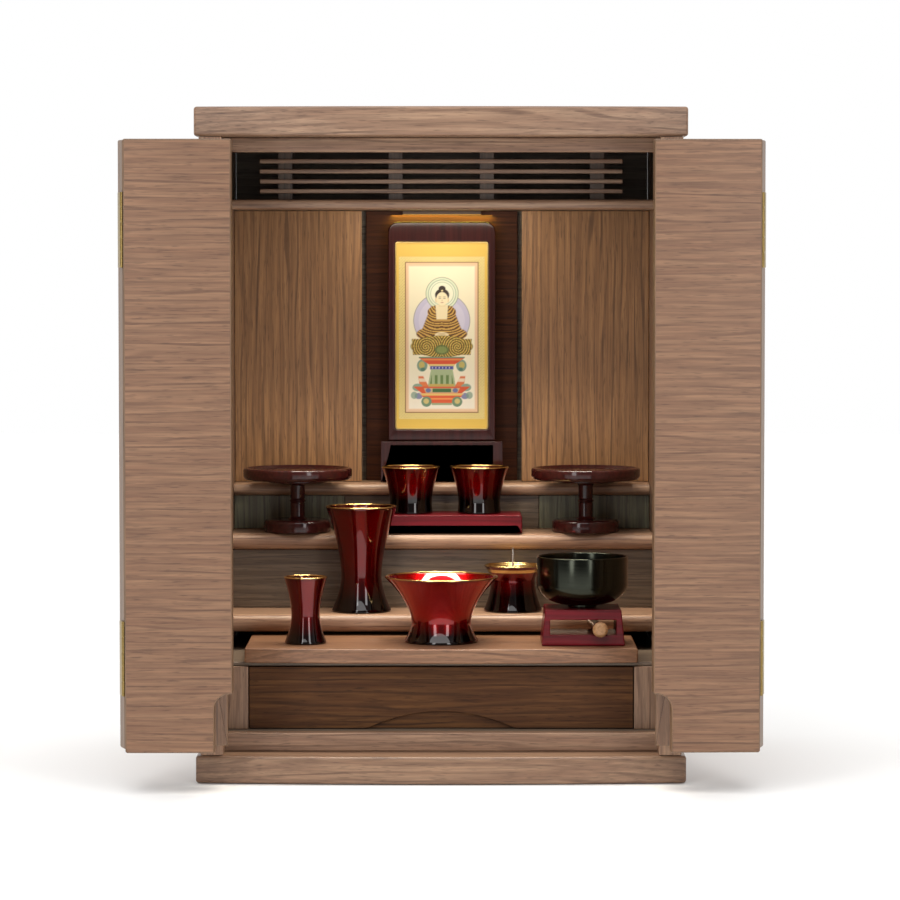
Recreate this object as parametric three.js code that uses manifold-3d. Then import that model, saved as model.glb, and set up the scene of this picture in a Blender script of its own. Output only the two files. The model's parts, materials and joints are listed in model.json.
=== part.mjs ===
// A household altar cabinet: a bow-fronted tabletop cabinet with bi-fold doors, a stepped
// interior with a lit niche, a pull-out tray and a drawer, and the lacquered implements on it.
// Millimetres, +Z up, front towards -Y. The origin is the centre of the base's underside.
import * as THREE from "three";
import { mergeVertices } from "three/addons/utils/BufferGeometryUtils.js";
import Module from "manifold-3d";

const wasm = await Module();
wasm.setup();

// Carcass
const width = 400;
const height = 550;
const depth = 320; // square part, from the back to the ends of the bow
const bow = 10; // rise of the bow front at its middle
const topThickness = 24;
const baseThickness = 22.5;
const boardOverhang = 4; // top and base past the side panels
const sideThickness = 12;
const lipDepth = 20; // thicker front edge of the side panels, on which the doors hang
const backThickness = 6;
const panelThickness = 6; // thin inner panels and risers
const floorThickness = 7;
const glue = 0.3; // gap kept between pieces that are glued or rest on each other

// Doors
const leafThickness = 16;
const leafHead = 4.2; // gap above a leaf
const leafFoot = 11; // gap below a leaf
const pinInset = 19; // hinge pin from the outside of the side panel
const pinProud = 2.5; // hinge pin in front of the closed door's face
const pinRadius = 2.2;
const seamPinRadius = 1.7;
const seamPinProud = 2; // seam pin behind the leaves' inner faces
const seamGap = 2.5; // seam pin to the inner leaf's edge
const hingePlate = 1;
const hingeGap = 0.5; // hinge plate to leaf edge
const hingeLength = 60;
const hingeDrop = 76; // middle of the upper hinges under the top board
const hingeLow = 107; // middle of the lower hinges
const hingePlateWidth = 12;
const meetingGap = 2; // between the two doors when closed
const doorOpen = { left: 161.5, right: 165 }; // degrees from closed
const leafFold = { left: 161.5, right: 163 }; // degrees that the inner leaf turns at the seam
const gripWidth = 14.5;
const gripHeight = 47;
const gripRise = 12; // height of the grip's rounded head

// Opening and lattice
const railInset = 26; // fascia and bottom rail behind the closed face
const railDepth = 12;
const fasciaHeight = 12;
const bottomRailHeight = 15.5;
const latticeInset = 88; // front of the lattice bars
const barSection = 3.4;
const barHousing = 0.8; // how far a bar is let into the posts
const barEndGap = 33; // end of a bar to the side panel
const barDrops = [42.7, 34.6, 26.2, 17.8]; // middles of the bars under the top board
const postWidth = 12;
const postDepth = 10;
const postEndGap = 54; // middle of an outer post to the side panel
const postMiddles = 38; // middle of an inner post from the centre
const transomRailHeight = 8;
const transomRailDrop = 50; // its top under the top board
const transomRailInset = 70;
const transomRailDepth = 36;
const ceilingThickness = 6;

// Niche
const wingInset = 285; // front of the wing panels
const nicheHalfWidth = 71;
const nicheSlit = 3.5;
const nicheInset = 304; // front of the niche back
const lampLength = 70;
const lampDepth = 8;
const lampHeight = 3;

// Shelves and risers
const upperShelf = { top: 229.3, thickness: 11, inset: 265 };
const middleShelf = { top: 188.6, thickness: 14, inset: 208 };
const lowerShelf = { top: 123.6, thickness: 14.9, inset: 148 };
const upperRiserInset = 271;
const upperRiserCentre = 172; // width of the middle length of the upper riser
const middleRiserInset = 214;
const nosingRadius = 6.5;

// Tray and drawer
const trayTop = 105.8;
const trayThickness = 12;
const trayGap = 21.5; // tray to the side panel
const trayDepth = 200;
const trayInset = 44; // ends of its bow front
const bedThickness = 3;
const stileWidth = 24;
const stileInset = 48; // front of the stiles beside the drawer
const stileDepth = 18;
const drawerInset = 50;
const drawerFrontThickness = 12;
const drawerClearance = 0.8;
const bedInset = 52; // front edge of the board under the tray
const drawerWall = 8;
const drawerBottom = 4;
const drawerDepth = 190;
const drawerBoxDrop = 8; // box sides below the top of the drawer front
const fingerArchWidth = 122;
const fingerArchHeight = 14;
const fingerArchDepth = 2.5; // the finger grip is a shallow recess

// Picture in its frame, and the frame's stand
const standWidth = 108;
const standHeight = 36;
const standDepth = 26;
const standInset = 274;
const standTop = 3.5;
const standLeg = 9;
const standCentre = 13;
const frameWidth = 95.3;
const frameHeadroom = 9.8; // above the frame, under the inner ceiling
const frameDepth = 9;
const frameInset = 284;
const frameSide = 6.3;
const frameHead = 17.5;
const frameFoot = 10;
const frameRound = 9; // radius of the two upper corners
const pictureThickness = 2;
const pictureSetBack = 3; // picture behind the frame's face

// Implements: heights, radii and places
const round = 26; // sides of a turned piece
const vesselWall = 1.8;
const plateShare = 0.12; // offering plate's radius, of the width
const offering = { gap: 10, inset: 232, height: 56, foot: 29.5, stem: 6.4, collar: 26 };
const offeringDisc = { plate: 10.5, foot: 11, collar: 2.2, dish: 2.5, rim: 3, ease: 1.6 };
const cupTable = { width: 134, height: 15.7, depth: 56, inset: 210, board: 4, apron: 10, leg: 4 };
const cup = { x: [-27, 33], height: 41, rim: 26, waist: 18.4, foot: 19 };
const flowerVase = { x: -69, inset: 181, height: 91, rim: 30.9, waist: 17.4, foot: 25.4 };
const candle = { x: 61.6, inset: 184, height: 40, rim: 20.5, waist: 19, foot: 25 };
const spikeHeight = 15;
const spikeRadius = 1.1;
const incenseVase = { gap: 49, inset: 85, height: 56, rim: 18.2, waist: 12, foot: 17.3 };
const incenseBowl = { x: 0, inset: 95, height: 55.5, rim: 47.9, waist: 25, foot: 30.7 };
const bellStand = { gap: 44.5, inset: 60, bottom: 69.3, top: 63.1, height: 30, depth: 56 };
const bellSlot = { width: 55, height: 12.6, sill: 9 };
const bellSize = { radius: 38.5, height: 42.5, wall: 2.2, foot: 12, footHeight: 2 };
const striker = { radius: 4.75, length: 80, swing: 3, across: 14, reach: 9 };
const strikerHead = { radius: 6.4, length: 7.6, blunt: 2.2 };

// Places worked out from the sizes
const front = -depth / 2;
const back = depth / 2;
const bodyHalf = width / 2 - boardOverhang;
const openHalf = bodyHalf - sideThickness;
const topUnderside = height - topThickness;
const innerLow = baseThickness + glue;
const innerHigh = topUnderside - glue;
const innerHalf = openHalf - glue;
const transomRailTop = topUnderside - transomRailDrop;
const nicheLow = upperShelf.top + glue;
const nicheHigh = transomRailTop - ceilingThickness - glue;
const barHalfLength = openHalf - barEndGap;
const postSpread = [postEndGap - openHalf, -postMiddles, postMiddles, openHalf - postEndGap];
const trayHalf = openHalf - trayGap;
const bellX = trayHalf - bellStand.gap;
const incenseVaseX = incenseVase.gap - trayHalf;
const hingeHigh = topUnderside - hingeDrop;
const offeringPlate = width * plateShare;
const offeringX = openHalf - offering.gap - offeringPlate;
const floorTop = baseThickness + bottomRailHeight;
const backFace = back - backThickness;
const leafLow = baseThickness + leafFoot;
const leafHigh = topUnderside - leafHead;
const pinHalf = bodyHalf - pinInset;
const lipWall = pinHalf + hingePlate / 2 + glue;
const edgeGap = hingePlate / 2 + hingeGap;
const leafReach = (pinHalf - meetingGap / 2) / 2;

const finish = (color, roughness, metalness = 0) =>
  new THREE.MeshStandardMaterial({ color, roughness, metalness });
const veneer = finish(0xa98a6b, 0.5);
const paleVeneer = finish(0xb89a76, 0.5);
const greyVeneer = finish(0x7d6c5c, 0.55);
const redWood = finish(0x5b3328, 0.5);
const mahogany = finish(0x43161a, 0.25);
const redLacquer = finish(0x8e1422, 0.2);
const blackLacquer = finish(0x1a0c0e, 0.15);
const bronze = finish(0x3b3d35, 0.25, 0.9);
const hingeBrass = finish(0x7a6238, 0.4, 0.9);
const steel = finish(0xb9bab6, 0.3, 1);
const lampGlass = finish(0xffe2a0, 0.4);
const pictureFace = finish(0xc9a961, 0.6);

const cabinet = new THREE.Group();

function add(parent, name, geometry, material) {
  const mesh = new THREE.Mesh(geometry, material);
  mesh.name = name;
  parent.add(mesh);
  return mesh;
}

// A straight block between two corners.
function block([x0, y0, z0], [x1, y1, z1]) {
  return new THREE.BoxGeometry(x1 - x0, y1 - y0, z1 - z0).translate(
    (x0 + x1) / 2,
    (y0 + y1) / 2,
    (z0 + z1) / 2,
  );
}

// An outline in plan, raised from z0 to z1.
function planSolid(shape, z0, z1) {
  const geometry = new THREE.ExtrudeGeometry(shape, {
    depth: z1 - z0,
    bevelEnabled: false,
    curveSegments: 10,
  });
  return geometry.translate(0, 0, z0);
}

// An outline seen from the front, x across and z up, carried from y0 back to y1.
function frontSolid(shape, y0, y1, curveSegments = 8) {
  const geometry = new THREE.ExtrudeGeometry(shape, {
    depth: y1 - y0,
    bevelEnabled: false,
    curveSegments,
  });
  return geometry.rotateX(Math.PI / 2).translate(0, y1, 0);
}

// An outline seen from the side, y back and z up, carried from x0 across to x1.
function sideSolid(shape, x0, x1) {
  const geometry = new THREE.ExtrudeGeometry(shape, {
    depth: x1 - x0,
    bevelEnabled: false,
    curveSegments: 5,
  });
  geometry.rotateX(Math.PI / 2).rotateZ(Math.PI / 2);
  return geometry.translate(x0, 0, 0);
}

// A profile of [radius, height] points turned about the vertical.
function turned(points, sides = round) {
  const profile = points.map(([r, z]) => new THREE.Vector2(r, z));
  return new THREE.LatheGeometry(profile, sides).rotateX(Math.PI / 2);
}

function solidOf(geometry) {
  const bare = geometry.clone();
  bare.deleteAttribute("normal");
  bare.deleteAttribute("uv");
  const merged = mergeVertices(bare, 1e-4);
  return new wasm.Manifold(
    new wasm.Mesh({
      numProp: 3,
      vertProperties: merged.attributes.position.array,
      triVerts: new Uint32Array(merged.index.array),
    }),
  );
}

function geometryOf(solid) {
  const mesh = solid.getMesh();
  const geometry = new THREE.BufferGeometry();
  geometry.setAttribute("position", new THREE.BufferAttribute(mesh.vertProperties, 3));
  geometry.setIndex(new THREE.BufferAttribute(mesh.triVerts, 1));
  return geometry;
}

const joined = (a, b) => geometryOf(solidOf(a).add(solidOf(b)));
const cut = (a, b) => geometryOf(solidOf(a).subtract(solidOf(b)));

// A board whose front edge bows forward by rise at its middle.
function bowBoard(halfWidth, frontEnds, backEdge, rise, z0, z1) {
  const shape = new THREE.Shape();
  shape.moveTo(-halfWidth, backEdge);
  shape.lineTo(-halfWidth, frontEnds);
  shape.quadraticCurveTo(0, frontEnds - 2 * rise, halfWidth, frontEnds);
  shape.lineTo(halfWidth, backEdge);
  return planSolid(shape, z0, z1);
}

// A shelf with a rounded front edge.
function shelf({ top, thickness, inset }) {
  const y0 = front + inset;
  const y1 = backFace - glue;
  const z0 = top - thickness;
  const r = Math.min(nosingRadius, thickness / 2 - glue);
  const shape = new THREE.Shape();
  shape.moveTo(y1, z0);
  shape.lineTo(y1, top);
  shape.lineTo(y0 + r, top);
  shape.absarc(y0 + r, top - r, r, Math.PI / 2, Math.PI, false);
  shape.absarc(y0 + r, z0 + r, r, Math.PI, 1.5 * Math.PI, false);
  return sideSolid(shape, -innerHalf, innerHalf);
}

function buildCarcass() {
  add(
    cabinet,
    "top_board",
    bowBoard(width / 2, front, back, bow, topUnderside, height),
    veneer,
  );
  add(cabinet, "base_board", bowBoard(width / 2, front, back, bow, 0, baseThickness), veneer);
  for (const [side, hand] of [["left", -1], ["right", 1]]) {
    const shape = new THREE.Shape();
    const lipEnd = front + lipDepth;
    shape.moveTo(hand * bodyHalf, front);
    shape.lineTo(hand * lipWall, front);
    shape.lineTo(hand * lipWall, lipEnd);
    shape.lineTo(hand * openHalf, lipEnd);
    shape.lineTo(hand * openHalf, back);
    shape.lineTo(hand * bodyHalf, back);
    add(cabinet, `side_panel_${side}`, planSolid(shape, innerLow, innerHigh), veneer);
  }
  add(
    cabinet,
    "back_panel",
    block([-innerHalf, backFace, innerLow], [innerHalf, back, innerHigh]),
    greyVeneer,
  );
  const railFront = front + railInset;
  add(
    cabinet,
    "fascia_rail",
    block(
      [-innerHalf, railFront, topUnderside - fasciaHeight],
      [innerHalf, railFront + railDepth, innerHigh],
    ),
    veneer,
  );
  add(
    cabinet,
    "bottom_rail",
    block(
      [-innerHalf, railFront, innerLow],
      [innerHalf, railFront + railDepth, floorTop],
    ),
    veneer,
  );
  add(
    cabinet,
    "floor_board",
    block(
      [-innerHalf, railFront + railDepth + glue, floorTop - floorThickness],
      [innerHalf, backFace - glue, floorTop],
    ),
    greyVeneer,
  );
}

function buildLattice() {
  const railShape = new THREE.Shape();
  const y0 = front + transomRailInset;
  const y1 = y0 + transomRailDepth;
  const z0 = transomRailTop - transomRailHeight;
  const r = transomRailHeight / 2 - glue;
  railShape.moveTo(y1, z0);
  railShape.lineTo(y1, transomRailTop);
  railShape.absarc(y0 + r, transomRailTop - r, r, Math.PI / 2, Math.PI, false);
  railShape.absarc(y0 + r, z0 + r, r, Math.PI, 1.5 * Math.PI, false);
  add(cabinet, "transom_rail", sideSolid(railShape, -innerHalf, innerHalf), veneer);
  const barFront = front + latticeInset;
  const postFront = barFront + barSection - barHousing;
  const bars = barDrops.map((drop) => topUnderside - drop).map((z) =>
    block(
      [-barHalfLength, barFront, z - barSection / 2],
      [barHalfLength, barFront + barSection, z + barSection / 2],
    ),
  );
  const posts = postSpread.map((x) =>
    block(
      [x - postWidth / 2, postFront, transomRailTop + glue],
      [x + postWidth / 2, postFront + postDepth, innerHigh],
    ),
  );
  const lattice = [...bars, ...posts].map(solidOf).reduce((a, b) => a.add(b));
  add(cabinet, "transom_lattice", geometryOf(lattice), veneer);
  add(
    cabinet,
    "inner_ceiling",
    block(
      [-innerHalf, y1 + glue, transomRailTop - ceilingThickness],
      [innerHalf, backFace - glue, transomRailTop],
    ),
    greyVeneer,
  );
}

function buildNiche() {
  const wingFront = front + wingInset;
  const nicheFront = front + nicheInset;
  for (const [side, hand] of [["left", -1], ["right", 1]]) {
    const edges = [hand * nicheHalfWidth, hand * innerHalf].sort((a, b) => a - b);
    add(
      cabinet,
      `wing_panel_${side}`,
      block([edges[0], wingFront, nicheLow], [edges[1], wingFront + panelThickness, nicheHigh]),
      paleVeneer,
    );
  }
  const nicheBackHalf = nicheHalfWidth - nicheSlit;
  add(
    cabinet,
    "niche_back",
    block([-nicheBackHalf, nicheFront, nicheLow], [nicheBackHalf, backFace - glue, nicheHigh]),
    redWood,
  );
  add(
    cabinet,
    "niche_lamp",
    block(
      [-lampLength / 2, nicheFront - glue - lampDepth, nicheHigh - lampHeight],
      [lampLength / 2, nicheFront - glue, nicheHigh],
    ),
    lampGlass,
  );
}

function buildShelves() {
  add(cabinet, "shelf_upper", shelf(upperShelf), veneer);
  add(cabinet, "shelf_middle", shelf(middleShelf), veneer);
  add(cabinet, "shelf_lower", shelf(lowerShelf), veneer);
  const upperLow = middleShelf.top + glue;
  const upperHigh = upperShelf.top - upperShelf.thickness - glue;
  const y0 = front + upperRiserInset;
  const y1 = y0 + panelThickness;
  const seam = upperRiserCentre / 2;
  add(
    cabinet,
    "riser_upper_left",
    block([-innerHalf, y0, upperLow], [-seam - glue, y1, upperHigh]),
    paleVeneer,
  );
  add(
    cabinet,
    "riser_upper_centre",
    block([-seam, y0, upperLow], [seam, y1, upperHigh]),
    greyVeneer,
  );
  add(
    cabinet,
    "riser_upper_right",
    block([seam + glue, y0, upperLow], [innerHalf, y1, upperHigh]),
    paleVeneer,
  );
  const middleFront = front + middleRiserInset;
  add(
    cabinet,
    "riser_middle",
    block(
      [-innerHalf, middleFront, lowerShelf.top + glue],
      [
        innerHalf,
        middleFront + panelThickness,
        middleShelf.top - middleShelf.thickness - glue,
      ],
    ),
    greyVeneer,
  );
}

function buildTrayAndDrawer() {
  const trayLow = trayTop - trayThickness;
  const bedTop = trayLow - glue;
  const bedLow = bedTop - bedThickness;
  const stileFront = front + stileInset;
  add(
    cabinet,
    "tray_bed",
    block([-innerHalf, front + bedInset, bedLow], [innerHalf, backFace - glue, bedTop]),
    greyVeneer,
  );
  for (const [side, hand] of [["left", -1], ["right", 1]]) {
    const edges = [hand * innerHalf, hand * (innerHalf - stileWidth)].sort((a, b) => a - b);
    add(
      cabinet,
      `drawer_stile_${side}`,
      block(
        [edges[0], stileFront, floorTop + glue],
        [edges[1], stileFront + stileDepth, bedLow - glue],
      ),
      veneer,
    );
  }
  const trayFront = front + trayInset;
  add(
    cabinet,
    "sliding_tray",
    bowBoard(trayHalf, trayFront, trayFront + trayDepth, bow, trayLow, trayTop),
    veneer,
  );

  const half = innerHalf - stileWidth - drawerClearance;
  const low = floorTop + drawerClearance;
  const high = bedLow - drawerClearance;
  const drawerFront = front + drawerInset;
  const boxFront = drawerFront + drawerFrontThickness;
  const arch = new THREE.Shape();
  const archHalf = fingerArchWidth / 2;
  arch.moveTo(archHalf, low - fingerArchDepth);
  arch.lineTo(archHalf, low);
  arch.quadraticCurveTo(0, low + 2 * fingerArchHeight, -archHalf, low);
  arch.lineTo(-archHalf, low - fingerArchDepth);
  add(
    cabinet,
    "drawer_front",
    cut(
      block([-half, drawerFront, low], [half, boxFront, high]),
      frontSolid(arch, drawerFront - fingerArchDepth, drawerFront + fingerArchDepth),
    ),
    veneer,
  );

  const outer = block(
    [-half + drawerClearance, boxFront + glue, low],
    [half - drawerClearance, boxFront + drawerDepth, high - drawerBoxDrop],
  );
  const inside = block(
    [-half + drawerClearance + drawerWall, boxFront + glue + drawerWall, low + drawerBottom],
    [half - drawerClearance - drawerWall, boxFront + drawerDepth - drawerWall, high + drawerWall],
  );
  add(cabinet, "drawer_box", cut(outer, inside), paleVeneer);
}

// A leaf's outline seen from the front, from x0 to x1, with a finger grip cut from the lower
// corner at x1 when grip is set. The grip's head is a quarter of an ellipse.
function leafShape(x0, x1, grip) {
  const shape = new THREE.Shape();
  const turn = Math.sign(x1 - x0);
  shape.moveTo(x0, leafLow);
  shape.lineTo(x0, leafHigh);
  shape.lineTo(x1, leafHigh);
  if (grip) {
    const springing = leafLow + gripHeight - gripRise;
    shape.lineTo(x1, leafLow + gripHeight);
    for (let step = 1; step <= 6; step += 1) {
      const angle = (step / 6) * (Math.PI / 2);
      shape.lineTo(
        x1 - turn * gripWidth * Math.sin(angle),
        springing + gripRise * Math.cos(angle),
      );
    }
    shape.lineTo(x1 - turn * gripWidth, leafLow);
  } else {
    shape.lineTo(x1, leafLow);
  }
  return shape;
}

// A hinge in its own frame: the barrel on the origin's vertical, and a plate behind it,
// running towards reach along y.
function hinge(radius, plateFrom, plateTo) {
  const barrel = new THREE.CylinderGeometry(radius, radius, hingeLength, 12).rotateX(Math.PI / 2);
  const plate = block(
    [-hingePlate / 2, plateFrom, -hingeLength / 2],
    [hingePlate / 2, plateTo, hingeLength / 2],
  );
  return joined(barrel, plate);
}

// Each door is a group turned about its pin. In the group's frame the pin is the origin, the
// closed leaf runs along +x for the left door and -x for the right, and +y points inwards.
function buildDoor(side, hand) {
  const along = -hand;
  const door = new THREE.Group();
  door.position.set(hand * pinHalf, front - pinProud, 0);
  door.rotation.z = THREE.MathUtils.degToRad(hand * doorOpen[side]);
  cabinet.add(door);
  const faceOut = pinProud;
  const faceIn = pinProud + leafThickness;
  add(
    door,
    `door_leaf_${side}_outer`,
    frontSolid(
      leafShape(along * edgeGap, along * (leafReach - edgeGap), false),
      faceOut,
      faceIn,
    ),
    veneer,
  );
  const fold = new THREE.Group();
  const seamDepth = faceIn + seamPinProud;
  fold.position.set(along * leafReach, seamDepth, 0);
  fold.rotation.z = THREE.MathUtils.degToRad(along * leafFold[side]);
  door.add(fold);
  add(
    fold,
    `door_leaf_${side}_inner`,
    frontSolid(
      leafShape(along * seamGap, along * leafReach, true),
      faceOut - seamDepth,
      faceIn - seamDepth,
    ),
    veneer,
  );
  for (const [level, z] of [["upper", hingeHigh], ["lower", hingeLow]]) {
    const pinHinge = add(
      cabinet,
      `hinge_${side}_side_${level}`,
      hinge(pinRadius, 0, pinProud + hingePlateWidth),
      hingeBrass,
    );
    pinHinge.position.set(hand * pinHalf, front - pinProud, z);
    const seamHinge = add(
      door,
      `hinge_${side}_seam_${level}`,
      hinge(seamPinRadius, -hingePlateWidth, 0),
      hingeBrass,
    );
    seamHinge.position.set(along * leafReach, seamDepth, z);
  }
}

function buildPicture() {
  const standFront = front + standInset;
  const standShape = new THREE.Shape();
  const half = standWidth / 2;
  const under = nicheLow + standHeight - standTop;
  standShape.moveTo(-half, nicheLow);
  standShape.lineTo(-half, nicheLow + standHeight);
  standShape.lineTo(half, nicheLow + standHeight);
  standShape.lineTo(half, nicheLow);
  standShape.lineTo(half - standLeg, nicheLow);
  standShape.lineTo(half - standLeg, under);
  standShape.lineTo(standCentre / 2, under);
  standShape.lineTo(standCentre / 2, nicheLow);
  standShape.lineTo(-standCentre / 2, nicheLow);
  standShape.lineTo(-standCentre / 2, under);
  standShape.lineTo(-half + standLeg, under);
  standShape.lineTo(-half + standLeg, nicheLow);
  add(
    cabinet,
    "picture_stand",
    frontSolid(standShape, standFront, standFront + standDepth),
    mahogany,
  );

  const low = nicheLow + standHeight + glue;
  const high = nicheHigh - frameHeadroom;
  const side = frameWidth / 2;
  const frameShape = new THREE.Shape();
  frameShape.moveTo(-side, low);
  frameShape.lineTo(-side, high - frameRound);
  frameShape.absarc(-side + frameRound, high - frameRound, frameRound, Math.PI, Math.PI / 2, true);
  frameShape.absarc(side - frameRound, high - frameRound, frameRound, Math.PI / 2, 0, true);
  frameShape.lineTo(side, low);
  const sight = new THREE.Path();
  const sightHalf = side - frameSide;
  sight.moveTo(-sightHalf, low + frameFoot);
  sight.lineTo(sightHalf, low + frameFoot);
  sight.lineTo(sightHalf, high - frameHead);
  sight.lineTo(-sightHalf, high - frameHead);
  sight.closePath();
  frameShape.holes.push(sight);
  const frameFront = front + frameInset;
  add(
    cabinet,
    "picture_frame",
    frontSolid(frameShape, frameFront, frameFront + frameDepth),
    mahogany,
  );
  const pictureFront = frameFront + pictureSetBack;
  add(
    cabinet,
    "picture_board",
    block(
      [-sightHalf + glue, pictureFront, low + frameFoot + glue],
      [sightHalf - glue, pictureFront + pictureThickness, high - frameHead - glue],
    ),
    pictureFace,
  );
}

// A dish for offerings: a thick disc with a shallow hollow, on a ringed stem and a thick foot.
function offeringProfile({ height, foot, stem, collar }, plate) {
  const { ease, dish, rim } = offeringDisc;
  const footTop = offeringDisc.foot;
  const plateLow = height - offeringDisc.plate;
  const collarLow = plateLow - offeringDisc.collar;
  const ring = (footTop + collarLow) / 2;
  return [
    [0, 0],
    [foot, 0],
    [foot, footTop - ease],
    [foot - ease, footTop],
    [stem, footTop],
    [stem, ring - ease],
    [stem + ease / 2, ring],
    [stem, ring + ease],
    [stem, collarLow],
    [collar, collarLow],
    [collar, plateLow],
    [plate - ease, plateLow],
    [plate, plateLow + ease],
    [plate, height - ease],
    [plate - ease, height],
    [plate - rim, height],
    [plate - rim - dish, height - dish],
    [0, height - dish],
  ];
}

// A flared vessel, open at the top: out along the foot, up the waisted side, over the lip and
// down the inside to a floor. The side's radius follows a smooth curve through the waist.
function vesselProfile({ height, rim, waist, foot }, waistAt, footStraight, floor) {
  const steps = 7;
  const outside = [];
  for (let i = 0; i <= steps; i += 1) {
    const t = i / steps;
    const below = Math.min(1, Math.max(0, (waistAt - t) / waistAt));
    const above = Math.min(1, Math.max(0, (t - waistAt) / (1 - waistAt)));
    const r = waist + (foot - waist) * below ** 1.8 + (rim - waist) * above ** 1.7;
    outside.push([r, footStraight + t * (height - footStraight)]);
  }
  const inside = outside
    .filter(([, z]) => z > floor + 2)
    .map(([r, z]) => [r - vesselWall, z])
    .reverse();
  const innerFloor = inside[inside.length - 1][0] * 0.8;
  return [[0, 0], [foot, 0], ...outside, ...inside, [innerFloor, floor], [0, floor]];
}

// A turned piece that stands at x, its axis inset from the closed face, on a surface.
function stand(name, profile, x, inset, surface, material) {
  add(cabinet, name, turned(profile), material).position.set(x, front + inset, surface + glue);
}

function buildMiddleShelfPieces() {
  const surface = middleShelf.top;
  for (const [side, hand] of [["left", -1], ["right", 1]])
    stand(
      `offering_stand_${side}`,
      offeringProfile(offering, offeringPlate),
      hand * offeringX,
      offering.inset,
      surface,
      mahogany,
    );
  const { width: w, height: h, depth: d, inset, board, apron, leg } = cupTable;
  const centre = (cup.x[0] + cup.x[1]) / 2;
  const low = surface + glue;
  const shape = new THREE.Shape();
  shape.moveTo(centre - w / 2, low);
  shape.lineTo(centre - w / 2, low + h);
  shape.lineTo(centre + w / 2, low + h);
  shape.lineTo(centre + w / 2, low);
  shape.lineTo(centre + w / 2 - leg, low);
  shape.lineTo(centre + w / 2 - leg, low + h - apron);
  shape.lineTo(centre - w / 2 + leg, low + h - apron);
  shape.lineTo(centre - w / 2 + leg, low);
  const table = frontSolid(shape, front + inset, front + inset + d);
  const underside = block(
    [centre - w / 2 + leg, front + inset + leg, low - board],
    [centre + w / 2 - leg, front + inset + d - leg, low + h - board],
  );
  add(cabinet, "cup_table", cut(table, underside), redLacquer);
  const names = ["cup_left", "cup_right"];
  cup.x.forEach((x, i) =>
    stand(
      names[i],
      vesselProfile(cup, 0.22, 1.5, 3.5),
      x,
      inset + d / 2,
      low + h,
      blackLacquer,
    ),
  );
}

function buildLowerShelfPieces() {
  const surface = lowerShelf.top;
  stand(
    "flower_vase",
    vesselProfile(flowerVase, 0.33, 1.5, 8),
    flowerVase.x,
    flowerVase.inset,
    surface,
    redLacquer,
  );
  stand(
    "candle_stand",
    vesselProfile(candle, 0.66, 1.5, candle.height - 6),
    candle.x,
    candle.inset,
    surface,
    blackLacquer,
  );
  const spikeBase = surface + 2 * glue + candle.height - 6;
  stand(
    "candle_spike",
    [
      [0, 0],
      [spikeRadius * 3, 0],
      [spikeRadius * 3, 1],
      [spikeRadius, 1.6],
      [spikeRadius * 0.8, 6 + spikeHeight * 0.7],
      [0, 6 + spikeHeight],
    ],
    candle.x,
    candle.inset,
    spikeBase - glue,
    steel,
  );
}

function buildTrayPieces() {
  const surface = trayTop;
  stand(
    "incense_vase",
    vesselProfile(incenseVase, 0.42, 1.5, 7),
    incenseVaseX,
    incenseVase.inset,
    surface,
    redLacquer,
  );
  stand(
    "incense_bowl",
    vesselProfile(incenseBowl, 0.3, 2, 8),
    incenseBowl.x,
    incenseBowl.inset,
    surface,
    redLacquer,
  );

  const { inset, bottom, top, height: h, depth: d } = bellStand;
  const x = bellX;
  const low = surface + glue;
  const shape = new THREE.Shape();
  shape.moveTo(x - bottom / 2, low);
  shape.lineTo(x - top / 2, low + h);
  shape.lineTo(x + top / 2, low + h);
  shape.lineTo(x + bottom / 2, low);
  const slot = new THREE.Path();
  const sill = low + bellSlot.sill;
  slot.moveTo(x - bellSlot.width / 2, sill);
  slot.lineTo(x + bellSlot.width / 2, sill);
  slot.lineTo(x + bellSlot.width / 2, sill + bellSlot.height);
  slot.lineTo(x - bellSlot.width / 2, sill + bellSlot.height);
  slot.closePath();
  shape.holes.push(slot);
  const standFront = front + inset;
  add(cabinet, "bell_stand", frontSolid(shape, standFront, standFront + d), redLacquer);

  const { radius, height: bh, wall, foot, footHeight } = bellSize;
  const bellProfile = [[0, 0], [foot, 0], [foot, footHeight]];
  const steps = 6;
  const shoulder = bh * 0.42;
  for (let i = 1; i <= steps; i += 1) {
    const angle = (i / steps) * (Math.PI / 2);
    bellProfile.push([
      foot + (radius - foot) * Math.sin(angle),
      footHeight + shoulder * (1 - Math.cos(angle)),
    ]);
  }
  bellProfile.push([radius, bh], [radius - wall, bh]);
  for (let i = steps; i >= 1; i -= 1) {
    const angle = (i / steps) * (Math.PI / 2);
    bellProfile.push([
      foot + (radius - wall - foot) * Math.sin(angle),
      footHeight + wall + shoulder * (1 - Math.cos(angle)),
    ]);
  }
  bellProfile.push([0, footHeight + wall]);
  stand("bell", bellProfile, x, inset + d / 2, low + h, bronze);

  const blunt = striker.radius * 0.3;
  const stick = add(
    cabinet,
    "bell_striker",
    turned(
      [
        [0, 0],
        [strikerHead.radius - strikerHead.blunt, 0],
        [strikerHead.radius, strikerHead.blunt],
        [strikerHead.radius, strikerHead.length],
        [striker.radius, strikerHead.length],
        [striker.radius, striker.length - blunt],
        [striker.radius - blunt, striker.length],
        [0, striker.length],
      ],
      12,
    ).rotateX(-Math.PI / 2),
    redWood,
  );
  stick.position.set(
    x + striker.across,
    standFront - striker.reach,
    sill + glue + striker.radius,
  );
  stick.rotation.z = THREE.MathUtils.degToRad(striker.swing);
}

buildCarcass();
buildLattice();
buildNiche();
buildShelves();
buildTrayAndDrawer();
buildDoor("left", -1);
buildDoor("right", 1);
buildPicture();
buildMiddleShelfPieces();
buildLowerShelfPieces();
buildTrayPieces();

export default cabinet;
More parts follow.
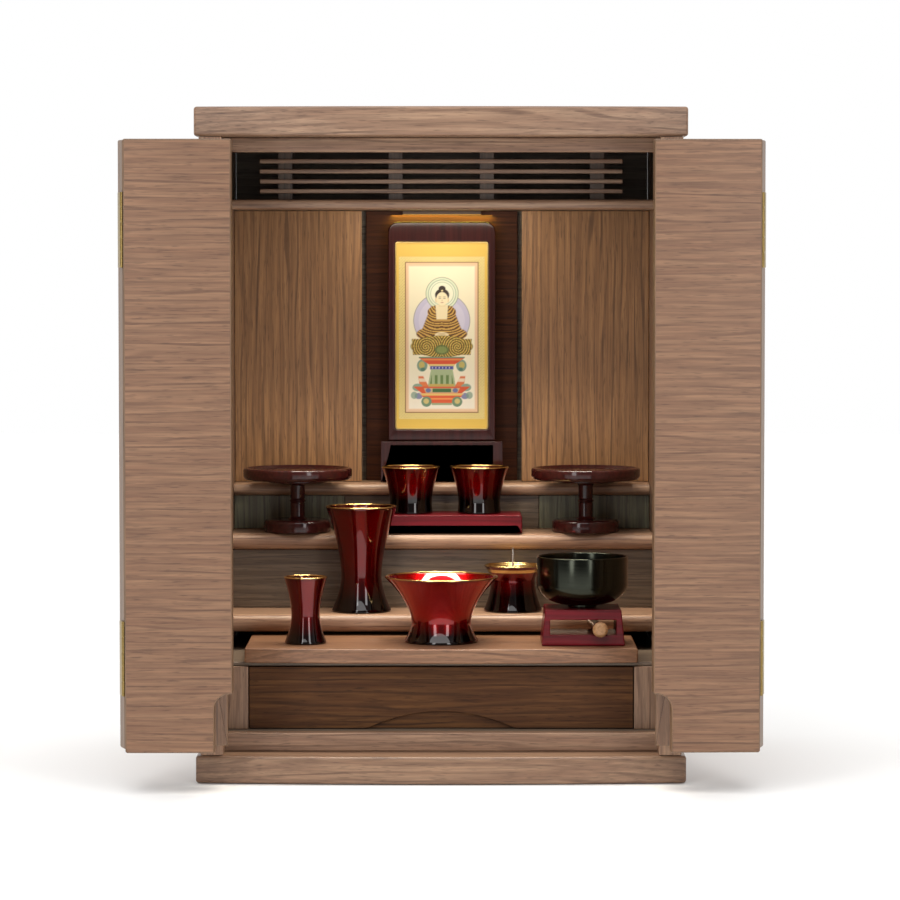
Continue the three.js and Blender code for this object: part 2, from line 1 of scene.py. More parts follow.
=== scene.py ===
"""Looks of a bow-fronted household altar cabinet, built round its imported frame.

Lengths are metres, +Z is up and the front faces -Y. Each piece is a surface worked out as
whole arrays, takes its place from the solid that it stands for, and rides on that solid's body.
"""

import json
import math

import bmesh
import bpy
import numpy as np
from bpy.props import FloatProperty, FloatVectorProperty, IntProperty, PointerProperty
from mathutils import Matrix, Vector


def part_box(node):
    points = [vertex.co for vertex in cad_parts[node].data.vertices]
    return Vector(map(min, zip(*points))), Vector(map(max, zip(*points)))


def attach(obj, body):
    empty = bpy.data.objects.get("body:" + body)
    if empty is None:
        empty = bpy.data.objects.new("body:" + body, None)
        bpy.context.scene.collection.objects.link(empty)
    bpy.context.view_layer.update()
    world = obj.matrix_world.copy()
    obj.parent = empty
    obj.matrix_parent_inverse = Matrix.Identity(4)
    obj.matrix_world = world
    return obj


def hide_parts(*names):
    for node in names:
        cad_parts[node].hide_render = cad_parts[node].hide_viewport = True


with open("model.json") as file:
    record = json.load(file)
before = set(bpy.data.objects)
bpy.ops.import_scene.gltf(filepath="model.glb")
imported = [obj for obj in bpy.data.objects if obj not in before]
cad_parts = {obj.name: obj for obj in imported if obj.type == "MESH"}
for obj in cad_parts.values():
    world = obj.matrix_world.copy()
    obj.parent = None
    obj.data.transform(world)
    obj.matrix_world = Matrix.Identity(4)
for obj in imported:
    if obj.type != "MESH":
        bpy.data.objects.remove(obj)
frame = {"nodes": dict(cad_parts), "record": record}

bl_info = {
    "name": "Altar cabinet",
    "version": (1, 0, 0),
    "blender": (4, 5, 0),
    "location": "View3D > Sidebar > Altar",
    "description": "Builds the visible pieces of a household altar cabinet on its packed frame",
    "category": "Object",
}

MM = 0.001
SIDES = {"left": -1, "right": 1}
# Columns that an outline's two directions and its travel fill: seen from above, front or side.
FACING = {"plan": [0, 1, 2], "front": [0, 2, 1], "side": [1, 2, 0]}
BODY_OF = {
    node: body
    for body, members in frame["record"]["behaviour"]["bodies"].items()
    for node in members
}
JOINTS = {joint["name"]: joint for joint in frame["record"]["behaviour"]["joints"]}
FOLD_SHARE = {
    coupling["joint"].split("_")[0]: coupling["ratio"]
    for coupling in frame["record"]["behaviour"]["couplings"]
}


def linear(code):
    """An sRGB hex colour as linear RGBA: a channel up to 0.04045 is divided by 12.92, and a
    higher one is (c + 0.055) / 1.055 to the power 2.4."""
    channel = np.array([int(code[i : i + 2], 16) for i in (1, 3, 5)]) / 255
    curved = ((channel + 0.055) / 1.055) ** 2.4
    return (*np.where(channel <= 0.04045, channel / 12.92, curved).tolist(), 1.0)


def toned(value):
    """A linear colour from an sRGB hex value, or as it is."""
    return linear(value) if isinstance(value, str) else value


def colour(name, code, description):
    """A colour property whose default is an sRGB hex value."""
    return FloatVectorProperty(
        name=name,
        description=description,
        subtype="COLOR",
        size=4,
        min=0.0,
        max=1.0,
        default=linear(code),
    )


def length(name, value, description):
    """A length property in metres."""
    return FloatProperty(
        name=name, description=description, default=value, min=0.0, unit="LENGTH", precision=5
    )


def power(name, value, description):
    """A light's power as a property."""
    return FloatProperty(name=name, description=description, default=value, unit="POWER")


class CabinetSizes(bpy.types.PropertyGroup):
    """Sizes of the joinery that the frame's boxes don't give."""

    bow: length("Bow", 10 * MM, "Rise of the bowed front edges at their middle")
    board_ease: length("Board edge", 2.4 * MM, "Rounding of the top and base boards' edges")
    panel_ease: length("Panel edge", 0.5 * MM, "Rounding of the thin panels' edges")
    nosing: length("Nosing", 6.5 * MM, "Radius of the shelves' front edges")
    lip_depth: length("Lip depth", 20 * MM, "Depth of the side panels' thicker front lip")
    side_thickness: length("Side thickness", 12 * MM, "Thickness of the side panels")
    bar: length("Lattice bar", 3.4 * MM, "Height and depth of a lattice bar")
    post: length("Lattice post", 12 * MM, "Width of a lattice post")
    grip_width: length("Grip width", 14.5 * MM, "Width of the finger grip in a door leaf")
    grip_height: length("Grip height", 47 * MM, "Height of the finger grip in a door leaf")
    arch_width: length("Arch width", 122 * MM, "Width of the drawer's finger arch")
    arch_height: length("Arch height", 14 * MM, "Height of the drawer's finger arch")
    arch_depth: length("Arch depth", 2.5 * MM, "Depth of the recess under the arch")


class WoodFinish(bpy.types.PropertyGroup):
    """Tones of the veneers."""

    light: colour("Light grain", "#a5846a", "Light bands of the taupe veneer")
    middle: colour("Middle grain", "#8f6d56", "Middle tone of the taupe veneer")
    dark: colour("Dark grain", "#6a4a38", "Dark bands of the taupe veneer")
    # The edge band's tone is darkened partly as painted shade on the leaves' side edges.
    edge: colour("Edge band", "#7a5c42", "Edge banding of the door leaves")
    line: length("Growth lines", 7 * MM, "Spacing of the growth lines")
    fibre: length("Fibre", 1.4 * MM, "Width of a fibre streak")


class LacquerFinish(bpy.types.PropertyGroup):
    """Tones of the lacquered and metal pieces."""

    red: colour("Red", "#a3121c", "Tinted lacquer over metal")
    crimson: colour("Crimson", "#620a15", "Lacquer of the low tables")
    mahogany: colour("Mahogany", "#350f0c", "Clear lacquer over dark stained wood")
    black: colour("Black", "#080405", "Dark end of the shaded lacquer")
    gold: colour("Gold", "#d8b878", "Gilt lips")
    bronze: colour("Bronze", "#34362f", "Darkened bell bronze")
    brass: colour("Brass", "#97804f", "Hinges")
    sides: IntProperty(
        name="Sides",
        description="Faces round a turned piece",
        default=112,
        min=24,
        max=256,
    )


class PictureFinish(bpy.types.PropertyGroup):
    """Grid and tones of the painted picture."""

    cell: length("Cell", 0.5 * MM, "Spacing of the painted grid")
    mount: colour("Mount", "#dcb64c", "Gold brocade round the picture")
    ground: colour("Ground", "#f6ecc9", "Cream ground of the picture")
    robe: colour("Robe", "#8a5a1e", "Robe of the figure")
    halo: colour("Halo", "#c9c3d6", "Halo behind the body")


class StageSettings(bpy.types.PropertyGroup):
    """Light and camera."""

    distance: length("Camera distance", 3.16, "From the camera to the middle of the cabinet")
    height: length("Camera height", 0.424, "Height of the camera")
    lens: FloatProperty(
        name="Lens", description="Focal length on a 36 mm sensor", default=148.0, unit="CAMERA"
    )
    strip_angle: FloatProperty(
        name="Strip angle",
        description="Azimuth of the two strip softboxes from the front",
        default=math.radians(24),
        subtype="ANGLE",
    )
    strip_power: power("Strip power", 5.5, "Power of a strip softbox")
    overhead: FloatProperty(
        name="Overhead", description="Strength of the soft light from above", default=1.5
    )
    front_sky: FloatProperty(
        name="Front sky", description="Brightness of the studio before the cabinet", default=0.12
    )
    picture_power: power("Picture light", 0.10, "Power of the light on the picture")
    lamp_power: power("Lamp power", 0.06, "Power of the warm niche lamp")
    shelf_power: power("Shelf light", 0.8, "Power of the light down on the shelves")


# Shapes


def rounded(corners, radii, steps=6):
    """An outline through the corners, each turned into an arc. Where the outline turns by an
    angle t, the arc of radius r starts r tan(|t| / 2) before the corner, and its points are
    that start turned about the arc's centre by shares of t. A radius of 0 keeps the corner."""
    corners = np.asarray(corners, float)
    radii = np.broadcast_to(np.asarray(radii, float), len(corners))
    into = corners - np.roll(corners, 1, axis=0)
    into /= np.linalg.norm(into, axis=1, keepdims=True)
    out = np.roll(into, -1, axis=0)
    turn = np.arctan2(into[:, 0] * out[:, 1] - into[:, 1] * out[:, 0], (into * out).sum(1))
    start = corners - into * (radii * np.tan(np.abs(turn) / 2))[:, None]
    left = np.stack([-into[:, 1], into[:, 0]], axis=1)
    centre = start + left * (np.sign(turn) * radii)[:, None]
    share = np.linspace(0, 1, steps + 1)
    angle = turn[:, None] * share
    u, v = (start - centre).T[:, :, None]
    points = np.stack([u * np.cos(angle) - v * np.sin(angle), u * np.sin(angle) + v * np.cos(angle)], -1)
    points += centre[:, None, :]
    keep = (share[None, :] == 0) | (radii[:, None] > 0)
    return points[np.broadcast_to(keep, angle.shape)]


def rectangle(low, high, radius, steps=3):
    """A rounded rectangle between two opposite corners, anticlockwise."""
    (u0, v0), (u1, v1) = low, high
    return rounded([(u0, v0), (u1, v0), (u1, v1), (u0, v1)], radius, steps)


def eased(outline, low, high, ease, inwards=1, steps=4):
    """Rings of an anticlockwise outline carried from low to high with both end edges rounded.
    At the angle a from 0 to 90 degrees a ring stands ease (1 - cos a) from the end and
    ease (1 - sin a) inside the outline. Moving inside goes against the sum of the two
    neighbouring edges' outward normals n and m, divided by 1 + n.m."""
    edge = np.roll(outline, -1, axis=0) - outline
    normal = np.stack([edge[:, 1], -edge[:, 0]], axis=1)
    normal /= np.linalg.norm(normal, axis=1, keepdims=True)
    before = np.roll(normal, 1, axis=0)
    mitre = (before + normal) / (1 + (before * normal).sum(1, keepdims=True))
    angle = np.linspace(0, np.pi / 2, steps + 1)
    draw = ease * (1 - np.sin(angle)) * inwards
    rise = ease * (1 - np.cos(angle))
    draws = np.concatenate([draw, draw[::-1]])
    levels = np.concatenate([low + rise, (high - rise)[::-1]])
    rings = np.empty((len(draws), len(outline), 3))
    rings[..., :2] = outline - mitre * draws[:, None, None]
    rings[..., 2] = levels[:, None]
    return rings


def quads(rows, columns, closed=False):
    """Faces between neighbouring points of a grid whose columns close, and whose rows close
    where closed is set: point (i, j) joins (i, j + 1), (i + 1, j + 1) and (i + 1, j)."""
    i, j = np.meshgrid(np.arange(rows if closed else rows - 1), np.arange(columns), indexing="ij")
    below, beside = (i + 1) % rows, (j + 1) % columns
    corners = [i * columns + j, i * columns + beside, below * columns + beside, below * columns + j]
    return np.stack(corners, -1).reshape(-1, 4).tolist()


def placed(points, facing):
    """Points of an outline and its travel put into x, y and z."""
    made = np.empty((points.size // 3, 3))
    made[:, FACING[facing]] = points.reshape(-1, 3)
    return made


def prism(outline, low, high, ease, facing="plan", steps=4):
    """A solid between two levels of an outline, its end edges rounded and its ends closed."""
    rings = eased(outline, low, high, ease, steps=steps)
    rows, columns = rings.shape[:2]
    ends = [list(range(columns)), list(range((rows - 1) * columns, rows * columns))]
    return placed(rings, facing), quads(rows, columns) + ends


def framed(outer, inner, low, high, ease, facing="front"):
    """A solid between an outline and the opening in it, which have as many points: outwards
    rings run from low to high, and the opening's rings run back and close the loop."""
    rings = np.concatenate([
        eased(outer, low, high, ease),
        eased(inner, low, high, ease, inwards=-1)[::-1],
    ])
    return placed(rings, facing), quads(*rings.shape[:2], closed=True)


def turned(profile, centre, sides, axis="z"):
    """A profile of radii and heights turned about an axis through centre: at the angle a a
    point of radius r stands at (r cos a, r sin a). The first and last points lie on the axis
    and are joined to their rings by triangles. With the axis y, heights run backwards."""
    angle = np.linspace(0, 2 * np.pi, sides, endpoint=False)
    r, z = profile[1:-1, 0, None], profile[1:-1, 1, None]
    rings = np.stack([r * np.cos(angle), r * np.sin(angle), z + 0 * angle], -1)
    rows = len(r)
    poles = [[0, 0, profile[0, 1]], [0, 0, profile[-1, 1]]]
    points = np.concatenate([rings.reshape(-1, 3), poles])
    if axis == "y":
        points = points[:, [0, 2, 1]]
    j = np.arange(sides)
    beside = (j + 1) % sides
    first = np.stack([np.full(sides, rows * sides), beside, j], 1)
    top = (rows - 1) * sides
    last = np.stack([np.full(sides, rows * sides + 1), top + j, top + beside], 1)
    return points + np.asarray(centre), quads(rows, sides) + first.tolist() + last.tolist()


def fillet(corners, radii, steps=5):
    """An open profile through the corners with its inner corners rounded: the closed outline
    without the arcs of its two ends, which keep a radius of 0."""
    return rounded(corners, [0, *radii, 0], steps)


def vessel(height, rim, waist, foot, waist_at, wall, floor, lip=1.1 * MM):
    """The profile of a flared vessel. With t the share of the height, its outside radius is
    waist + (foot - waist) below^1.8 + (rim - waist) above^1.7, where below and above are the
    shares of t on either side of the waist. A half round lip leads to the inside, which runs
    a wall's thickness within it down to a rounded floor."""
    base = 1.5 * MM
    t = np.linspace(0, 1, 60)
    below = np.clip((waist_at - t) / waist_at, 0, 1)
    above = np.clip((t - waist_at) / (1 - waist_at), 0, 1)
    radius = waist + (foot - waist) * below**1.8 + (rim - waist) * above**1.7
    level = base + t * (height - lip - base)
    outside = np.column_stack([radius, level])
    start = fillet([(0, 0), (foot, 0), (foot, base)], [0.5 * MM])[:-1]
    turn = np.linspace(0, np.pi, 9)
    half = wall / 2
    over = np.column_stack([rim - half + half * np.cos(turn), height - lip + lip * np.sin(turn)])
    inside = np.column_stack([radius - wall, level])[level > floor + 3 * MM][::-1]
    low = inside[-1, 0]
    bowl = fillet([inside[-1], (low * 0.96, floor), (0, floor)], [3 * MM])[1:]
    return np.concatenate([start, outside[:-1], over, inside[1:], bowl])


def joined(*shells):
    """Several shells as one: their points end to end, and each face's numbers moved on by the
    points before it."""
    points = np.concatenate([shell[0] for shell in shells])
    starts = np.cumsum([0] + [len(shell[0]) for shell in shells])
    faces = [[v + s for v in face] for (_, fs), s in zip(shells, starts) for face in fs]
    return points, faces


def piece(name, shell, materials, slot, *nodes, flat=True, sharp=38, zones=None):
    """One visible piece in place of its solids. zones gives each face's material number from
    the faces' middles, and flat weights the normals so that broad faces stay even."""
    points, faces = shell
    mesh = bpy.data.meshes.new(name)
    mesh.from_pydata(points.tolist(), [], faces)
    tidy = bmesh.new()
    tidy.from_mesh(mesh)
    bmesh.ops.remove_doubles(tidy, verts=tidy.verts, dist=1e-7)
    bmesh.ops.recalc_face_normals(tidy, faces=tidy.faces)
    tidy.to_mesh(mesh)
    tidy.free()
    for material in materials:
        mesh.materials.append(material)
    if zones is not None:
        middle = np.empty(len(mesh.polygons) * 3)
        mesh.polygons.foreach_get("center", middle)
        mesh.polygons.foreach_set("material_index", zones(middle.reshape(-1, 3)).astype(np.int32))
    mesh.shade_smooth()
    mesh.set_sharp_from_angle(angle=math.radians(sharp))
    made = bpy.data.objects.new(name, mesh)
    bpy.context.scene.collection.objects.link(made)
    if flat:
        weighted = made.modifiers.new("Even faces", "WEIGHTED_NORMAL")
        weighted.keep_sharp = True
    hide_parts(*nodes)
    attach(made, BODY_OF[nodes[0]])
    return made


def corners_of(node):
    """The lowest and highest corner of a solid, as arrays."""
    low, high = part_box(node)
    return np.array(low), np.array(high)


def seat_of(low, high):
    """The middle of the underside between two corners."""
    return np.array([(low[0] + high[0]) / 2, (low[1] + high[1]) / 2, low[2]])


def board(node, materials, slot, ease=None, facing="plan"):
    """A flat board in a solid's box with all its edges rounded."""
    ease = bpy.context.scene.altar_sizes.panel_ease if ease is None else ease
    low, high = corners_of(node)
    u, v, w = FACING[facing]
    outline = rectangle(low[[u, v]], high[[u, v]], ease)
    shell = prism(outline, low[w], high[w], ease, facing)
    piece(f"{node}_veneered", shell, materials, slot, node)


# Materials


def node(tree, kind, inputs=None, stops=None, **settings):
    """Adds a node, gives it its settings, and fills or links its inputs."""
    made = tree.nodes.new(kind)
    for name, value in settings.items():
        setattr(made, name, value)
    for name, value in (inputs or {}).items():
        if isinstance(value, bpy.types.NodeSocket):
            tree.links.new(value, made.inputs[name])
        else:
            made.inputs[name].default_value = value
    if stops:
        ramp = made.color_ramp
        while len(ramp.elements) < len(stops):
            ramp.elements.new(0.5)
        for element, (position, value) in zip(ramp.elements, stops):
            element.position = position
            element.color = value
    return made


def material(name, **sockets):
    """An empty material with one Principled shader, its sockets set by name."""
    made = bpy.data.materials.new(name)
    made.use_nodes = True
    tree = made.node_tree
    tree.nodes.clear()
    inputs = {key.replace("_", " ").title().replace("Ior", "IOR"): v for key, v in sockets.items()}
    shader = node(tree, "ShaderNodeBsdfPrincipled", inputs)
    node(tree, "ShaderNodeOutputMaterial", {"Surface": shader.outputs["BSDF"]})
    return made, tree, shader


def shade(colour_value, factor):
    """A linear colour made lighter or darker by a factor."""
    return (*[min(1.0, c * factor) for c in colour_value[:3]], 1.0)


def veneer(name, tones, grain, roughness=0.44, gloss=0.12, shine=0.5, spacing=None):
    """Sliced open-grained wood under satin lacquer. Growth lines about 7 mm apart, which sway
    and come and go, are the peaks of a sine of the distance across the grain; over them lie
    fibre streaks 1.4 mm wide and pores. Real pores are 0.2 mm wide and are drawn 0.8 mm wide,
    the least that shows. grain is 1 along the directions that the grain runs in."""
    wood = bpy.context.scene.altar_wood
    light, middle, dark = [toned(tone) for tone in tones]
    made, tree, shader = material(
        name,
        roughness=roughness,
        specular_ior_level=shine,
        coat_weight=gloss,
        coat_roughness=0.3,
        ior=1.5,
    )
    place = node(tree, "ShaderNodeTexCoord").outputs["Object"]
    along = np.array(grain, float)
    noises = []
    for run, width, detail, warp in (
        (0.26, 26 * MM, 2.0, 0.3),
        (0.11, 5 * MM, 3.0, 0.3),
        (0.045, wood.fibre, 2.0, 0.2),
        (0.013, 0.8 * MM, 1.0, 0.0),
    ):
        scale = tuple(1 / np.where(along > 0, run, width))
        stretched = node(tree, "ShaderNodeMapping", {"Vector": place, "Scale": scale})
        noise = node(
            tree,
            "ShaderNodeTexNoise",
            {"Vector": stretched.outputs["Vector"], "Scale": 1.0, "Detail": detail, "Distortion": warp},
        )
        noises.append(noise.outputs["Fac"])
    sway, accent, fibres, pores = noises
    bend = 22.0
    turns = tuple((1 - along) * 2 * math.pi / (spacing or wood.line))
    across = node(tree, "ShaderNodeVectorMath", {0: place, 1: turns}, operation="DOT_PRODUCT")
    phase = node(
        tree, "ShaderNodeMath", {0: sway, 1: bend, 2: across.outputs["Value"]}, operation="MULTIPLY_ADD"
    )
    wave = node(tree, "ShaderNodeMath", {0: phase.outputs[0]}, operation="SINE")
    peak = node(
        tree,
        "ShaderNodeMapRange",
        {"Value": wave.outputs[0], "From Min": 0.35, "From Max": 1.0, "To Max": 0.75},
        interpolation_type="SMOOTHSTEP",
    )
    strength = node(tree, "ShaderNodeMapRange", {"Value": accent, "From Min": 0.38, "From Max": 0.62})
    line = node(
        tree, "ShaderNodeMath", {0: peak.outputs[0], 1: strength.outputs[0]}, operation="MULTIPLY"
    )
    body = node(tree, "ShaderNodeValToRGB", {"Fac": accent}, stops=[(0.36, middle), (0.62, light)])
    lined = node(
        tree, "ShaderNodeMix", {0: line.outputs[0], 6: body.outputs["Color"], 7: dark}, data_type="RGBA"
    )
    streaks = node(
        tree,
        "ShaderNodeValToRGB",
        {"Fac": fibres},
        stops=[(0.3, (0.74, 0.72, 0.70, 1)), (0.5, (0.96, 0.96, 0.96, 1)), (0.7, (1.16, 1.15, 1.13, 1))],
    )
    streaked = node(
        tree,
        "ShaderNodeMix",
        {0: 1.0, 6: lined.outputs[2], 7: streaks.outputs["Color"]},
        data_type="RGBA",
        blend_type="MULTIPLY",
    )
    open_pores = node(
        tree, "ShaderNodeMapRange", {"Value": pores, "From Min": 0.60, "From Max": 0.72, "To Max": 0.5}
    )
    grained = node(
        tree,
        "ShaderNodeMix",
        {0: open_pores.outputs[0], 6: streaked.outputs[2], 7: shade(dark, 0.5)},
        data_type="RGBA",
    )
    tree.links.new(grained.outputs[2], shader.inputs["Base Color"])
    relief = node(tree, "ShaderNodeMath", {0: fibres, 1: open_pores.outputs[0]}, operation="SUBTRACT")
    bump = node(
        tree, "ShaderNodeBump", {"Height": relief.outputs[0], "Strength": 0.25, "Distance": 0.15 * MM}
    )
    tree.links.new(bump.outputs["Normal"], shader.inputs["Normal"])
    return made


def taupe(name, grain, factor=1.0, warmth=1.0, **settings):
    """The cabinet's own veneer, lighter or darker by a factor, and redder as the warmth, which green
    takes once and blue twice, falls below 1. Each piece's factor and warmth stand partly for the light
    and shade on that piece, so the pieces carry lighter and darker copies of one veneer: painted light
    and painted shade."""
    wood = bpy.context.scene.altar_wood
    tones = [
        (*[min(1.0, c * factor * warmth**k) for k, c in enumerate(tone[:3])], 1.0)
        for tone in (wood.light, wood.middle, wood.dark)
    ]
    return veneer(name, tones, grain, **settings)


def candy_lacquer(name, rise, low_shade, high_shade, red_from, red_to, painted_light_factor=1.0):
    """Tinted lacquer over bright metal, sprayed darker towards the foot and darker again towards the
    rim. The tinted clear coat takes more light at grazing angles, so the colour glows in the middle and
    sinks at the edges. rise is each point's share of the height, kept as an attribute.
    painted_light_factor makes each vessel's red a lighter or darker copy of the same lacquer, as painted
    light and painted shade."""
    lacquer = bpy.context.scene.altar_lacquer
    red = shade(lacquer.red, painted_light_factor)
    made, tree, shader = material(
        name,
        metallic=0.9,
        roughness=0.27,
        coat_weight=1.0,
        coat_roughness=0.03,
        coat_ior=1.5,
        coat_tint=(0.75, 0.16, 0.16, 1),
    )
    share = node(tree, "ShaderNodeAttribute", attribute_name=rise)
    ramp = node(
        tree,
        "ShaderNodeValToRGB",
        {"Fac": share.outputs["Fac"]},
        stops=[
            (low_shade, lacquer.black),
            (red_from, red),
            (red_to, red),
            (high_shade, shade(red, 0.35)),
        ],
    )
    tree.links.new(ramp.outputs["Color"], shader.inputs["Base Color"])
    return made


def gloss_lacquer(name, tone, grain=None, coat=1.0):
    """Polished lacquer over stained wood: a deep colour under a clear coat, with a trace of
    cloudiness and the faint waviness that a hand-rubbed coat keeps, about 6 mm across."""
    made, tree, shader = material(
        name,
        roughness=0.6,
        specular_ior_level=0.1,
        coat_weight=coat,
        coat_roughness=0.1,
        coat_ior=1.4,
    )
    place = node(tree, "ShaderNodeTexCoord").outputs["Object"]
    size = np.where(np.array(grain or (0, 0, 0)) > 0, 0.08, 3 * MM)
    stretched = node(tree, "ShaderNodeMapping", {"Vector": place, "Scale": tuple(1 / size)})
    cloud = node(
        tree, "ShaderNodeTexNoise", {"Vector": stretched.outputs["Vector"], "Scale": 1.0, "Detail": 3.0}
    )
    ramp = node(
        tree,
        "ShaderNodeValToRGB",
        {"Fac": cloud.outputs["Fac"]},
        stops=[(0.3, shade(tone, 0.6)), (0.7, shade(tone, 1.35))],
    )
    tree.links.new(ramp.outputs["Color"], shader.inputs["Base Color"])
    wave = node(tree, "ShaderNodeTexNoise", {"Vector": place, "Scale": 160.0, "Detail": 1.0})
    bump = node(
        tree, "ShaderNodeBump", {"Height": wave.outputs["Fac"], "Strength": 0.04, "Distance": 0.1 * MM}
    )
    tree.links.new(bump.outputs["Normal"], shader.inputs["Coat Normal"])
    return made


def metal(name, tone, roughness, scratch, axis=2):
    """Bare metal with fine turned or drawn marks: noise drawn out round the piece and changing
    quickly along one axis moves the roughness and the colour a little."""
    made, tree, shader = material(name, metallic=1.0)
    place = node(tree, "ShaderNodeTexCoord").outputs["Object"]
    scale = np.full(3, 40.0)
    scale[axis] = 1 / scratch
    stretched = node(tree, "ShaderNodeMapping", {"Vector": place, "Scale": tuple(scale)})
    marks = node(
        tree, "ShaderNodeTexNoise", {"Vector": stretched.outputs["Vector"], "Scale": 1.0, "Detail": 2.0}
    )
    rough = node(
        tree,
        "ShaderNodeMapRange",
        {"Value": marks.outputs["Fac"], "To Min": roughness * 0.75, "To Max": roughness * 1.25},
    )
    tree.links.new(rough.outputs[0], shader.inputs["Roughness"])
    ramp = node(
        tree,
        "ShaderNodeValToRGB",
        {"Fac": marks.outputs["Fac"]},
        stops=[(0.3, shade(tone, 0.88)), (0.7, shade(tone, 1.12))],
    )
    tree.links.new(ramp.outputs["Color"], shader.inputs["Base Color"])
    return made


def along_piece(made, name):
    """Keeps each point's share of the piece's height as an attribute."""
    mesh = made.data
    points = np.empty(len(mesh.vertices) * 3)
    mesh.vertices.foreach_get("co", points)
    z = points.reshape(-1, 3)[:, 2]
    mesh.attributes.new(name, "FLOAT", "POINT").data.foreach_set(
        "value", ((z - z.min()) / (z.max() - z.min())).astype(np.float32)
    )


# Pieces


def bowed(node_name, name, ease, materials, slot):
    """A board whose front edge bows forward: y = end - bow (1 - (x / half)^2)."""
    bow = bpy.context.scene.altar_sizes.bow
    low, high = corners_of(node_name)
    middle, half = (low[0] + high[0]) / 2, (high[0] - low[0]) / 2
    share = np.linspace(-1, 1, 41)
    y = low[1] + bow * share**2
    edge = np.column_stack([middle + half * share, y])
    corners = np.concatenate([[(low[0], high[1])], edge, [(high[0], high[1])]])
    radii = np.zeros(len(corners))
    radii[[0, 1, -2, -1]] = ease
    outline = rounded(corners, radii, 5)
    piece(name, prism(outline, low[2], high[2], ease, steps=5), materials, slot, node_name)


class ALTAR_OT_boards(bpy.types.Operator):
    """Top and base boards with their bowed, rounded front edges"""

    bl_idname = "altar.boards"
    bl_label = "Top and base boards"

    def execute(self, context):
        ease = context.scene.altar_sizes.board_ease
        # Sliced walnut, grain across the cabinet, satin lacquer: the light runs along it. The top
        # board's copy is lighter and the base board's darker, as painted light and painted shade.
        for name, factor, warmth in (("top_board", 0.88, 0.99), ("base_board", 0.72, 0.96)):
            across = taupe(f"taupe_veneer_{name}", (1, 0, 0), factor, warmth)
            bowed(name, f"{name}_bowed", ease, [across], "veneer")
        return {"FINISHED"}


class ALTAR_OT_carcass(bpy.types.Operator):
    """Side panels with their lips, the back, the rails and the hidden boards"""

    bl_idname = "altar.carcass"
    bl_label = "Carcass"

    def execute(self, context):
        sizes = context.scene.altar_sizes
        # The same veneer on the sides, its grain upright.
        upright = taupe("taupe_veneer_upright", (0, 0, 1), 1.0)
        for side, hand in SIDES.items():
            name = f"side_panel_{side}"
            low, high = corners_of(name)
            outer, wall = (low[0], high[0]) if hand < 0 else (high[0], low[0])
            inner = outer - hand * sizes.side_thickness
            lip = low[1] + sizes.lip_depth
            corners = [
                (outer, low[1]), (wall, low[1]), (wall, lip),
                (inner, lip), (inner, high[1]), (outer, high[1]),
            ]
            if hand > 0:
                corners = corners[::-1]
            outline = rounded(corners, sizes.panel_ease, 3)
            shell = prism(outline, low[2], high[2], sizes.panel_ease)
            piece(f"{name}_veneered", shell, [upright], "veneer", name)
        # Grey-brown printed lining, as on the backs of such cabinets.
        lining = veneer(
            "lining_board", ("#7a6a5b", "#6a5a4b", "#55463a"), (1, 0, 0),
            roughness=0.5, gloss=0.05,
        )
        for name in ("back_panel", "floor_board", "inner_ceiling", "tray_bed"):
            board(name, [lining], "grey_veneer")
        # The rails' lighter copy of the veneer is partly a painted reflection of the studio lights along
        # them.
        rail = taupe("taupe_veneer_rails", (1, 0, 0), 0.9, 0.98)
        for name in ("fascia_rail", "bottom_rail"):
            board(name, [rail], "veneer", ease=0.9 * MM)
        return {"FINISHED"}


def bullnosed(node_name, name, radius, steps, wood):
    """A board whose long front edges are rounded by a radius, as far as its thickness lets."""
    ease = 0.3 * MM
    low, high = corners_of(node_name)
    r = min(radius, (high[2] - low[2]) / 2 - ease)
    (front, bottom), (back, top) = low[1:], high[1:]
    corners = [(back, top), (front, top), (front, bottom), (back, bottom)]
    outline = rounded(corners, [0.4 * MM, r, r, 0.4 * MM], steps)
    piece(name, prism(outline, low[0], high[0], ease, "side"), [wood], "veneer", node_name)


class ALTAR_OT_lattice(bpy.types.Operator):
    """The rounded transom rail and the lattice over it"""

    bl_idname = "altar.lattice"
    bl_label = "Lattice"

    def execute(self, context):
        sizes = context.scene.altar_sizes
        # Bars of grey-brown wood, on posts painted far darker as painted shade, so that they fall back
        # into the dark behind the bars.
        bar_wood = taupe("taupe_veneer_lattice", (1, 0, 0), 0.8)
        shaded_post_wood = taupe("shaded_lattice_post", (0, 0, 1), 0.2)
        low, high = corners_of("transom_lattice")
        drops = np.array([42.4, 34.3, 25.9, 17.5]) * MM
        middles = np.array([-130, -38, 38, 130]) * MM
        half, wide, deep = sizes.bar / 2, sizes.post / 2, 10 * MM
        bars = [
            prism(
                rectangle((low[1], z - half), (low[1] + sizes.bar, z + half), 0.6 * MM),
                low[0], high[0], 0.4 * MM, "side",
            )
            for z in high[2] - drops
        ]
        posts = [
            prism(
                rectangle((x - wide, high[1] - deep), (x + wide, high[1]), 0.6 * MM),
                low[2], high[2], 0.4 * MM,
            )
            for x in middles
        ]
        count = sum(len(faces) for _, faces in bars)
        piece(
            "transom_lattice_grid", joined(*bars, *posts), [bar_wood, shaded_post_wood], "veneer",
            "transom_lattice", zones=lambda middle: np.arange(len(middle)) >= count,
        )
        rail = taupe("taupe_veneer_transom", (1, 0, 0), 0.9)
        bullnosed("transom_rail", "transom_rail_rounded", math.inf, 8, rail)
        return {"FINISHED"}


